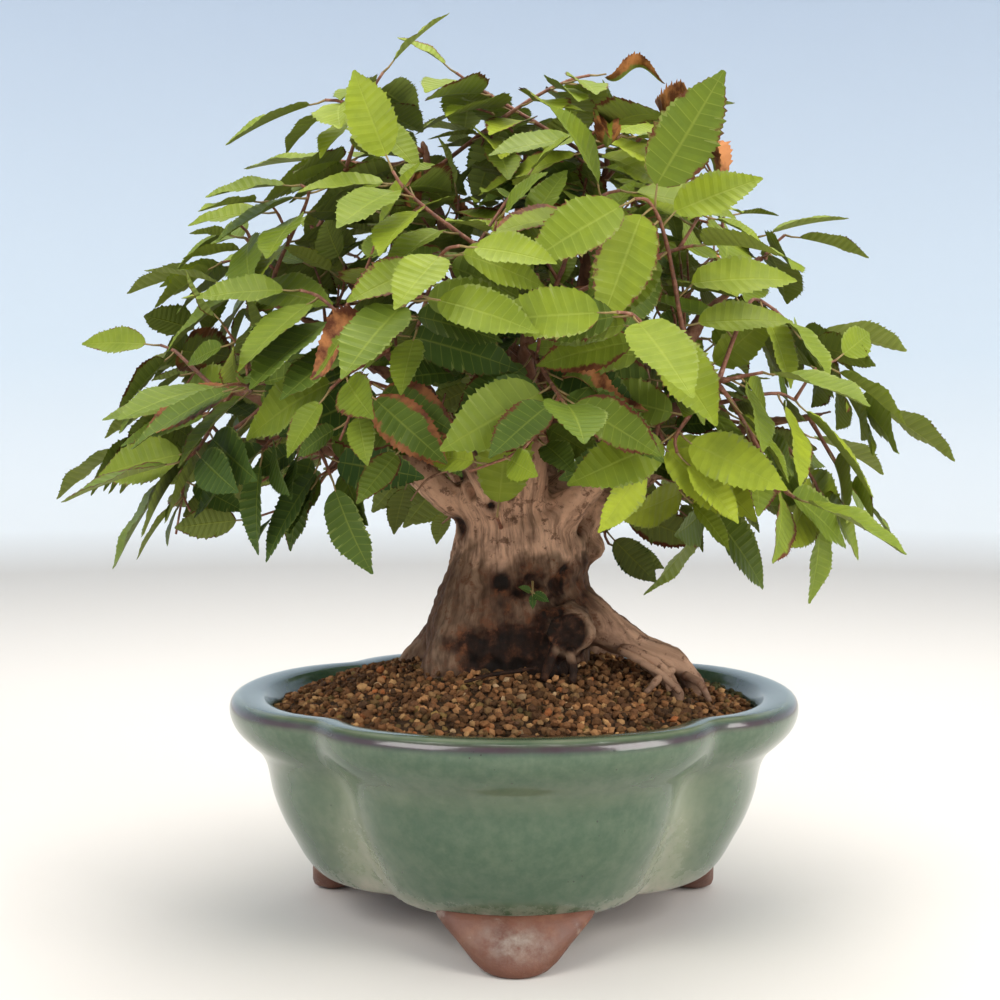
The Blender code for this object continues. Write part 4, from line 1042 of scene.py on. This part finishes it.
def readLeaves(work):
    # finds each CAD blade by its two many-edged middle points and gives its base, direction, normal and length
    hubs = [v for v in work.verts if len(v.link_edges) >= leaf["hubEdges"]]
    ring = {v.index: {e.other_vert(v).index for e in v.link_edges} for v in hubs}
    found, used, leafPoints = [], set(), set()
    for i, a in enumerate(hubs):
        for b in hubs[i + 1:]:
            gap = (a.co - b.co).length / mm
            shared = ring[a.index] & ring[b.index]
            if abs(gap - leaf["thick"]) > leaf["thickSlack"] or len(shared) < leaf["hubShared"]:
                continue
            if {a.index, b.index} & used:
                continue
            used |= {a.index, b.index}
            own = shared | {a.index, b.index}
            loose = {k: sum(e.other_vert(work.verts[k]).index not in own for e in work.verts[k].link_edges)
                     for k in shared}
            leafPoints |= {k for k in own if loose.get(k, 0) < 3}  # the rest belongs to the stalk
            middle = (a.co + b.co) / 2
            rim = [work.verts[k].co for k in shared if loose[k] == 0]
            tip = max(rim, key=lambda co: (co - middle).length)
            normal = (a.co - b.co).normalized()
            along = tip - middle
            if along.dot(normal) > 0:
                normal = -normal
            flat = along - normal * along.dot(normal)
            length = flat.length / (1 - leaf["heart"])
            flat.normalize()
            origin = middle - flat * length * leaf["heart"] + normal * leaf["droop"] * length * leaf["heart"] ** 2
            found.append((origin, flat, normal, length))
    return found, leafPoints


def readTwig(work, leaves, leafPoints):
    # the twig's middle line: from its end at the wood through each joint where stalks leave it
    joints = []
    for origin, along, normal, length in leaves:
        spot = origin - along * leaf["stalk"] * mm
        if all((spot - other).length > 1.0 * mm for other in joints):
            joints.append(spot)
    stem = [v.co.copy() for v in work.verts if v.index not in leafPoints]
    foot = min(stem, key=lambda co: woodTree.find_nearest(co)[3])
    ends = sorted(stem, key=lambda co: (co - foot).length)[:3]
    path = [sum(ends, Vector()) / 3]
    while joints:
        nearest = min(joints, key=lambda co: (co - path[-1]).length)
        joints.remove(nearest)
        path.append(nearest)
    return path


def layLeaf(shapes, name, origin, along, normal, length, draw):
    # a copy of a leaf, folded on its midrib, drooping, waved a little and laid in its place
    mesh = draw.choice(shapes).data.copy()
    fold = math.tan(math.radians(leaf["fold"] + draw.uniform(*leaf["foldSpread"])))
    droop = leaf["droop"] + draw.uniform(*leaf["droopSpread"])
    wave, phase = draw.uniform(*leaf["wave"]), draw.uniform(0, 6.3)
    twist = draw.uniform(*leaf["twist"])
    curled = draw.random() < leaf["curledShare"]
    side = normal.cross(along).normalized()
    place = Matrix((along, side, normal)).transposed().to_4x4()
    place.translation = origin
    for vertex in mesh.vertices:
        x, y, z = vertex.co
        across = abs(y)
        lift = across * fold * (1.06 - 0.9 * across) - droop * x * x  # the fold eases towards the margin
        lift += wave * math.sin(phase + x * 13 + (2 if y > 0 else 0)) * min(1, across * 6) + twist * x * y
        if curled:
            lift += 2.2 * y * y + 0.12 * math.sin(phase + x * 7)  # both sides roll up
            y *= 1 - 0.3 * smoothStep(0.05, 0.22, across)
        vertex.co = place @ (Vector((x, y, z + lift)) * length)
    return putInScene(name, mesh), curled


def setTone(thing, values):
    layer = thing.data.color_attributes.new(name="leafTone", type="FLOAT_COLOR", domain="POINT")
    layer.data.foreach_set("color", list((*values, 1.0)) * len(thing.data.vertices))


def makeLeafFinish(name, under):
    green = Finish(name)
    along, acrossRaw = green.split(green.put("ShaderNodeUVMap", {}, uv_map="UVMap").outputs["UV"])[:2]
    across = green.maths("MULTIPLY", green.maths("ABSOLUTE", green.maths("SUBTRACT", acrossRaw, 0.5)), 2.0)
    tone, scorch, lime = green.attribute("leafTone")[1:]
    # side veins run forward from the midrib to the margin
    phase = green.maths("MULTIPLY", along, leaf["veins"])
    near = green.maths("ABSOLUTE", green.maths("SUBTRACT", green.maths("FRACT", phase), 0.5))
    sideVein = green.levels(near, 0.43, 0.5)
    rib = green.levels(across, 0.07, 0.015)
    veins = green.maths("MAXIMUM", sideVein, rib)
    mottle = green.noise(160, 4, 0.6)
    colour = green.mix(tone, leaf["deepTone"], leaf["freshTone"])
    colour = green.mix(lime, colour, leaf["limeTone"])
    colour = green.coats(colour, (mottle, 0.35, 0.7, 0.0, 0.3, leaf["deepTone"]))
    veinShare = 0.30
    if under:
        colour = green.mix(0.62, colour, leaf["underTone"])
        veinShare = 0.5
    colour = green.mix(green.maths("MULTIPLY", veins, veinShare), colour, leaf["veinTone"])
    # scorched margin, ragged by noise, with a thin red line inside it
    ragged = green.maths("ADD", across, green.levels(green.noise(230, 5, 0.7), 0.2, 0.8, -0.28, 0.28))
    start = green.maths("SUBTRACT", 1.22, green.maths("MULTIPLY", scorch, 0.62))
    burnt = green.times(green.maths("SUBTRACT", ragged, start), 9.0)
    dryShare = green.maths("MULTIPLY", green.levels(mottle, 0.4, 0.6), green.levels(scorch, 0.7, 1.2))
    dryMix = green.mix(dryShare, leaf["scorchTone"], leaf["dryTone"])
    colour = green.mix(burnt, colour, dryMix)
    height = green.maths("SUBTRACT", green.maths("MULTIPLY", near, 0.9), green.maths("MULTIPLY", rib, 0.4))
    normal = green.bump(height, 0.6 if under else 0.40, (-0.6 if under else 0.6) * mm)
    normal = green.bump(green.noise(900, 3), 0.12, 0.2 * mm, normal)
    green.shader.inputs["Specular IOR Level"].default_value = 0.14
    return green.finish(colour, green.levels(mottle, 0.3, 0.7, 0.40 + 0.2 * under, 0.55 + 0.2 * under), normal)


def makeStalkFinish():
    stalk = Finish("redTwig")
    grain = stalk.noise(600, 5, 0.6)
    colour = stalk.ramp(grain, *zip((0.3, 0.55, 0.8), leaf["stalkTones"]))
    colour = stalk.mix(stalk.attribute("leafTone")[3], colour, leaf["stalkGreen"])
    return stalk.finish(colour, 0.6, stalk.bump(grain, 0.5, 0.3 * mm))


def inPicture(place):
    # where the camera sees a point, in the thousandths of the picture's side
    spot = (place - potAxis) / mm - Vector(studio["cameraPlace"])
    down = math.radians(studio["lookDown"])
    depth = spot.y * math.cos(down) - spot.z * math.sin(down)
    scale = 1000 * studio["lens"] / studio["sensor"] / depth
    return 500 + spot.x * scale, 500 - (spot.y * math.sin(down) + spot.z * math.cos(down)) * scale


def leafTones(origin, draw):
    # painted light and shade: leaves brighter towards the outside and the top of the crown, darker inside it
    middle = potAxis + Vector((-3, 2, 150)) * mm
    out = Vector(((origin.x - middle.x) / 0.125, (origin.y - middle.y) / 0.1, (origin.z - middle.z) / 0.12))
    light = smoothStep(0.45, 1.05, out.length) * 0.65 + 0.25 * smoothStep(-0.2, 0.8, out.z)
    tone = max(0.0, min(1.0, light + draw.uniform(-0.28, 0.25)))
    scorch = max(0.0, draw.gauss(0.22, 0.28))
    lime = 0.7 if draw.random() < leaf["limeShare"] else max(0.0, draw.uniform(-0.2, 0.3))
    across, down = inPicture(origin)
    middleX, middleY, reachX, reachY, depth = leaf["shade"]
    tone *= 1 - depth * math.exp(-((across - middleX) / reachX) ** 2 - ((down - middleY) / reachY) ** 2)
    # painted light on the right of the crown, painted shade on its left
    sides = (leaf["paintedLightRight"], leaf["paintedShadeLeft"])
    tone += sum(share * smoothStep(low, high, across) for low, high, share in sides)
    for x, y, reach, toneThere, scorchThere, limeThere in leaf["spots"]:
        if origin.y < potY and math.hypot(across - x, down - y) < reach:
            return toneThere, scorchThere, limeThere
    return min(tone, 1.0), min(scorch, 1.0), lime


crown = {
    "middle": (-3.0, 2.0, 148.0),
    "half": (110.0, 92.0, 108.0),
    "shoots": 1500,  # places that are tried; a crowded one stays empty
    "lowest": -0.30,
    "depth": (0.50, 1.02),  # share of the way from the middle to the crown's surface
    "apart": 7.0,  # mm between a new shoot's end and any leaf's middle
    "near": 13.0,  # mm between a small leaf and the CAD's leaves or wood, at most
    "neck": (3.0, 44.0, 14.0, 138.0),  # x, half width, y and z in mm: the trunk's front stays bare below
    "span": (6.0, 48.0),  # mm, shortest and longest shoot
    "leavesEach": 4,
    "leafStep": 5.2,  # mm between leaves along a shoot
    "leafTries": 7,
    "leafLength": (15.0, 25.0),
    "mostLeaves": 480,
    "perPiece": 60,  # leaves in one piece, roughly
    "twigRadii": (0.80, 0.42),  # mm, at the foot and at the end
    "shootRadii": (0.55, 0.34),
    "twigSides": 7,
    "shootSides": 5,
    "jointSwell": 1.18,
    "highShare": 0.35,  # share of shoots that are tried near the top alone
    "inward": 10.0,  # mm from a shoot's end towards the middle, where it looks for its twig
    "bend": 0.16,  # how far a shoot bends, as a share of its length
    # the little green sprout on the front of the old wood: x, y, z, length and direction of each leaf
    "budLeaves": [(5.8, -24.5, 102.0, 6.0, 0.7, -0.5, -0.3), (5.2, -24.5, 102.5, 5.0, -0.6, -0.5, 0.3),
                  (5.6, -24.5, 101.5, 4.5, 0.0, -0.5, -0.8)],
    "seed": 23,
}


def chance(draw):
    return Vector([draw.uniform(-1, 1) for _ in range(3)])


class Crown:
    # the leaves that already stand, for keeping new ones clear of them
    def __init__(self, tree):
        self.taken = []
        self.woodTree = tree
        self.middles = []
        names = [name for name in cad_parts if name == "wood" or name.startswith("spray_")]
        self.solids = surfaceTree(*[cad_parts[name].data for name in names])

    def outline(self, origin, along, normal, length):
        # a leaf's box, and eight flat faces that stand for it
        side = normal.cross(along).normalized()
        fold = math.tan(math.radians(leaf["fold"]))
        rows = []
        for s in (0.0, 0.25, 0.5, 0.75, 1.0):
            half = bladeHalf(s) * 1.05
            centre = origin + along * length * s - normal * length * leaf["droop"] * s * s
            lift = normal * half * fold * length
            rows.append((centre - side * half * length + lift, centre, centre + side * half * length + lift))
        points = [point for row in rows for point in row]
        faces = []
        for i in range(4):
            for k in range(2):
                a = i * 3 + k
                faces.append((a, a + 1, a + 4, a + 3))
        low = Vector(map(min, zip(*points)))
        high = Vector(map(max, zip(*points)))
        return low, high, BVHTree.FromPolygons(points, faces)

    def take(self, origin, along, normal, length):
        self.taken.append(self.outline(origin, along, normal, length))
        self.middles.append(origin + along * length * 0.5)

    def meets(self, low, high, tree):
        for otherLow, otherHigh, other in self.taken:
            if any(low[k] > otherHigh[k] or high[k] < otherLow[k] for k in range(3)):
                continue
            if tree.overlap(other):
                return True
        return False

    def clear(self, origin, along, normal, length):
        # a small leaf stands free, near the tree's solids and off the bare neck
        centre, halfWide, front, top = crown["neck"]
        for share in (0.0, 0.5, 1.0):
            place = origin + along * length * share - normal * length * leaf["droop"] * share * share
            spot = (place - potAxis) / mm
            if spot.z < top and spot.y < front and abs(spot.x - centre) < halfWide:
                return False
            if self.solids.find_nearest(place)[3] > crown["near"] * mm:
                return False
        low, high, tree = self.outline(origin, along, normal, length)
        return not (self.meets(low, high, tree) or tree.overlap(self.woodTree))


def finishAll(thing, finishes, slotNumber=None):
    # the upper side, the underside and the stalk's finish, in that order
    for finish in finishes:
        thing.data.materials.append(finish)
    if slotNumber is not None:
        for face in thing.data.polygons:
            face.material_index = slotNumber


def makeStem(path, start, end, sides, finishes):
    smooth = [Vector(p) for p in smoothCurvePoints([tuple(p) for p in path], 3)]
    last = len(smooth) - 1
    swell = crown["jointSwell"]
    radii = [(start + (end - start) * i / last) * mm * (swell if i % 3 == 0 else 1.0) for i in range(last + 1)]
    stem = tubeMesh("twig", smooth, radii, sides)
    setTone(stem, leaf["twigMarks"])
    finishAll(stem, finishes, 2)
    return stem


def makeLeaf(shapes, name, origin, along, normal, length, finishes, draw, made, back=None):
    # back: a way down the twig, along which the stalk starts a little lower
    blade, curled = layLeaf(shapes, name, origin, along, normal, length, draw)
    tone, scorch, lime = leafTones(origin + along * length * 0.5, draw)
    setTone(blade, (tone, 1.6 if curled else scorch, lime))
    finishAll(blade, finishes)
    start = origin - along * leaf["stalk"] * mm
    if back:
        start += back * draw.choice([draw.uniform(*shift) for shift in leaf["stalkShift"]]) * mm
    stalkPath = [start, start.lerp(origin, 0.5) - normal * 0.25 * mm, origin + along * 0.6 * mm]
    stem = tubeMesh("stalk", stalkPath, [radius * mm for radius in leaf["stalkRadii"]], leaf["stalkSides"])
    setTone(stem, leaf["stalkMarks"])
    finishAll(stem, finishes, 2)
    made += [blade, stem]


def finishPiece(made, name, replaced=None):
    piece = joinAll(made[0], made[1:])
    piece.name = name
    bpy.ops.object.shade_smooth()
    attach(piece, "root")
    if replaced:
        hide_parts(replaced)


def makeSpray(name, shapes, finishes, draw, space, skeleton):
    work = mergedNode(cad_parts[name])
    leaves, leafPoints = readLeaves(work)
    path = readTwig(work, leaves, leafPoints)
    work.free()
    number = name.split("_")[1]
    made = []
    for i, (origin, along, normal, length) in enumerate(leaves):
        base = origin - along * leaf["stalk"] * mm
        at = min(range(len(path)), key=lambda k: (path[k] - base).length)
        back = (path[at - 1] - path[at]).normalized() if 0 < at < len(path) - 1 else None
        makeLeaf(shapes, f"leaf{number}_{i}", origin, along, normal, length, finishes, draw, made, back)
        space.take(origin, along, normal, length)
    inward = (path[0] - path[1]).normalized() * 1.6 * mm
    made.append(makeStem([path[0] + inward] + path, *crown["twigRadii"], crown["twigSides"], finishes))
    skeleton += path
    finishPiece(made, f"spray{number}Fine", name)
    return len(leaves)


def hangLeaves(start, bend, end, out, space, draw):
    # small leaves on both sides of one shoot, each turned until it stands clear
    span = (end - start).length
    way = (end - bend).normalized()
    hung = []
    for order in range(crown["leavesEach"]):
        share = 1 - order * crown["leafStep"] * mm / span
        if share < 0.3:
            break
        spot = bend.lerp(end, share * 2 - 1) if share > 0.5 else start.lerp(bend, share * 2)
        hand = 1 if order % 2 else -1
        side = way.cross(Vector((0, 0, 1)) + out * 0.6).normalized() * hand
        for attempt in range(crown["leafTries"]):
            aim = way if order == 0 else way * 0.45 + side * 0.9 + out * 0.2
            aim = (aim - Vector((0, 0, 0.22)) + chance(draw) * (0.25 + 0.1 * attempt)).normalized()
            face = out + Vector((0, 0, 0.5)) + chance(draw) * 0.35
            normal = (face - aim * face.dot(aim)).normalized()
            length = draw.uniform(*crown["leafLength"]) * (1 - 0.04 * attempt) * mm
            origin = spot + aim * leaf["stalk"] * mm
            if space.clear(origin, aim, normal, length):
                space.take(origin, aim, normal, length)
                hung.append((origin, aim, normal, length))
                break
    return hung


def growShoots(shapes, finishes, space, skeleton):
    # fills the crown between the sprays with shorter shoots of smaller leaves
    draw = random.Random(crown["seed"])
    middle, half = potAxis + Vector(crown["middle"]) * mm, Vector(crown["half"]) * mm
    tree = KDTree(len(skeleton))
    for i, spot in enumerate(skeleton):
        tree.insert(spot, i)
    tree.balance()
    shortest, longest = crown["span"]
    made, count, pieces = [], 0, 0
    for _ in range(crown["shoots"]):
        up = draw.uniform(0.5, 1) if draw.random() < crown["highShare"] else draw.uniform(crown["lowest"], 1)
        around = draw.uniform(0, 2 * math.pi)
        ring = math.sqrt(1 - up * up)
        out = Vector((ring * math.cos(around), ring * math.sin(around), up))
        reach = draw.uniform(*crown["depth"])
        end = middle + Vector((out.x * half.x, out.y * half.y, out.z * half.z)) * reach
        if count >= crown["mostLeaves"]:
            break
        if any((end - other).length < crown["apart"] * mm for other in space.middles):
            continue
        start = tree.find(end - out * crown["inward"] * mm)[0]
        span = (end - start).length
        if not shortest * mm <= span <= longest * mm:
            continue
        bend = start.lerp(end, 0.5) + chance(draw) * span * crown["bend"]
        hung = hangLeaves(start, bend, end, out, space, draw)
        if not hung:
            continue
        for item in hung:
            makeLeaf(shapes, f"small{count}", *item, finishes, draw, made)
            count += 1
        made.append(makeStem([start, bend, end], *crown["shootRadii"], crown["shootSides"], finishes))
        if len(made) > crown["perPiece"] * 2:
            finishPiece(made, f"shoots{pieces}")
            made, pieces = [], pieces + 1
    for x, y, z, length, *aim in crown["budLeaves"]:
        way = Vector(aim).normalized()
        face = Vector((0, -1, 0.6))
        normal = (face - way * face.dot(way)).normalized()
        place = potAxis + Vector((x, y, z)) * mm
        makeLeaf(shapes, f"small{count}", place, way, normal, length * mm, finishes, draw, made)
    finishPiece(made, f"shoots{pieces}")
    return count


# Bare twigs and cut stubs that stand on the limbs under the leaves
bareTwigs = {
    "count": 110,
    "tries": 900,
    "levels": (124.0, 178.0),  # mm
    "bareFront": (140.0, 4.0, 30.0),  # z, y and half width in mm: none grow lower on the front of the neck
    "limbReach": 66.0,  # mm from the trunk's axis
    "length": (9.0, 26.0),
    "apart": 4.0,
    "stubShare": 0.16,
    "stubLength": (2.5, 5.0),
    "stubRadius": (0.9, 1.5),
    "radius": (0.45, 0.75),
    "forkShare": 0.6,
    "root": 0.8,  # mm that a twig reaches into the wood
    "sides": (6, 5),  # of a twig and of its fork
    "forkRadii": (0.6, 0.5, 0.35),  # shares of the twig's own
    "marks": (0.45, 0.0, 0.35),  # thin reddish wood, rot with painted shade, and pale bark
    "seed": 5,
}


def tubeFaces(path, radius):
    # a three-sided sleeve round a path, for testing whether a twig meets a leaf
    points, faces = [], []
    for spot in path:
        for k in range(3):
            a = 2 * math.pi * k / 3
            points.append(spot + Vector((math.cos(a), math.sin(a), 0.3 * math.sin(2 * a))) * radius)
    for i in range(len(path) - 1):
        for k in range(3):
            j = (k + 1) % 3
            faces.append((3 * i + k, 3 * i + j, 3 * i + 3 + j, 3 * i + 3 + k))
    return points, faces


def growBareTwigs(space):
    draw = random.Random(bareTwigs["seed"])
    low, high = bareTwigs["levels"]
    lowest, front, halfWide = bareTwigs["bareFront"]
    seats = [v for v in woodForm.data.vertices if low * mm < v.co.z - potAxis.z < high * mm
             and math.hypot(v.co.x - potX, v.co.y - potY) < bareTwigs["limbReach"] * mm]
    made, used = [], []
    for _ in range(bareTwigs["tries"]):
        if len(used) >= bareTwigs["count"]:
            break
        seat = seats[draw.randrange(len(seats))]
        if any((seat.co - other).length < bareTwigs["apart"] * mm for other in used):
            continue
        spot = (seat.co - potAxis) / mm
        if spot.z < lowest and spot.y < front and abs(spot.x) < halfWide:
            continue
        stub = draw.random() < bareTwigs["stubShare"]
        length = draw.uniform(*(bareTwigs["stubLength"] if stub else bareTwigs["length"])) * mm
        outward = Vector((seat.co.x - potX, seat.co.y - potY, 0)).normalized()
        way = (seat.normal * 1.3 + outward * 0.5 + Vector((0, 0, 0.35)) + chance(draw) * 0.35).normalized()
        path = [seat.co + seat.normal * bareTwigs["root"] * side * mm for side in (-1, 1)]
        steps = 1 if stub else 4
        for step in range(steps):
            path.append(path[-1] + way * length / steps)
            way = (way + chance(draw) * 0.38 + Vector((0, 0, 0.06))).normalized()
        points, faces = tubeFaces(path[1:], 0.7 * mm)
        bounds = [Vector(map(pick, zip(*points))) for pick in (min, max)]
        sleeve = BVHTree.FromPolygons(points, faces)
        if space.meets(*bounds, sleeve):
            continue
        used.append(seat.co.copy())
        thick = draw.uniform(*(bareTwigs["stubRadius"] if stub else bareTwigs["radius"]))
        smooth = path if stub else [Vector(p) for p in smoothCurvePoints([tuple(p) for p in path], 3)]
        last = len(smooth) - 1
        radii = [thick * (1 - (0.1 if stub else 0.55) * i / last) * mm * draw.uniform(0.9, 1.15)
                 for i in range(last + 1)]
        made.append(tubeMesh("bareTwig", smooth, radii, bareTwigs["sides"][0]))
        if not stub and draw.random() < bareTwigs["forkShare"]:
            fork = smooth[last // 2]
            aim = (way + chance(draw) * 0.9).normalized()
            side = [fork, fork + aim * length * 0.25, fork + (aim + chance(draw) * 0.4) * length * 0.45]
            forkRadii = [thick * share * mm for share in bareTwigs["forkRadii"]]
            made.append(tubeMesh("bareTwig", side, forkRadii, bareTwigs["sides"][1]))
    for twig in made:
        paintPoints(twig, "barkMarksAndShade", lambda place: bareTwigs["marks"])
        paintPoints(twig, "barkFlow", lambda place: (place.x, place.y, place.z * 0.3))
        twig.data.materials.append(barkFinish)
    twigs = joinAll(made[0], made[1:])
    twigs.name = "bareTwigs"
    bpy.ops.object.shade_smooth()
    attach(twigs, "root")
    print("bare twigs", len(used))


print("stage: leaves")
shapeDraw = random.Random(leaf["seed"])
leafShapes = [makeLeafShape("leafShape", leaf["rows"], shapeDraw) for _ in range(leaf["kinds"])]
smallShapes = [makeLeafShape("smallLeafShape", leaf["smallRows"], shapeDraw) for _ in range(leaf["kinds"])]
leafFinishes = (makeLeafFinish("leafUpper", 0), makeLeafFinish("leafUnder", 1), makeStalkFinish())
leafDraw = random.Random(leaf["seed"])
space = Crown(woodTree)
skeleton = [vertex.co.copy() for vertex in list(woodForm.data.vertices)[::40] if vertex.co.z > 132 * mm]
leafCount = 0
for nodeName in sorted(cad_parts):
    if nodeName.startswith("spray_"):
        leafCount += makeSpray(nodeName, leafShapes, leafFinishes, leafDraw, space, skeleton)
smallCount = growShoots(smallShapes, leafFinishes, space, skeleton)
growBareTwigs(space)
for shape in leafShapes + smallShapes:
    bpy.data.objects.remove(shape)
print("leaves", leafCount, "and between them", smallCount)

total = 0
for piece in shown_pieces():
    total += sum(len(face.vertices) - 2 for face in piece.data.polygons)
print("triangles", total)
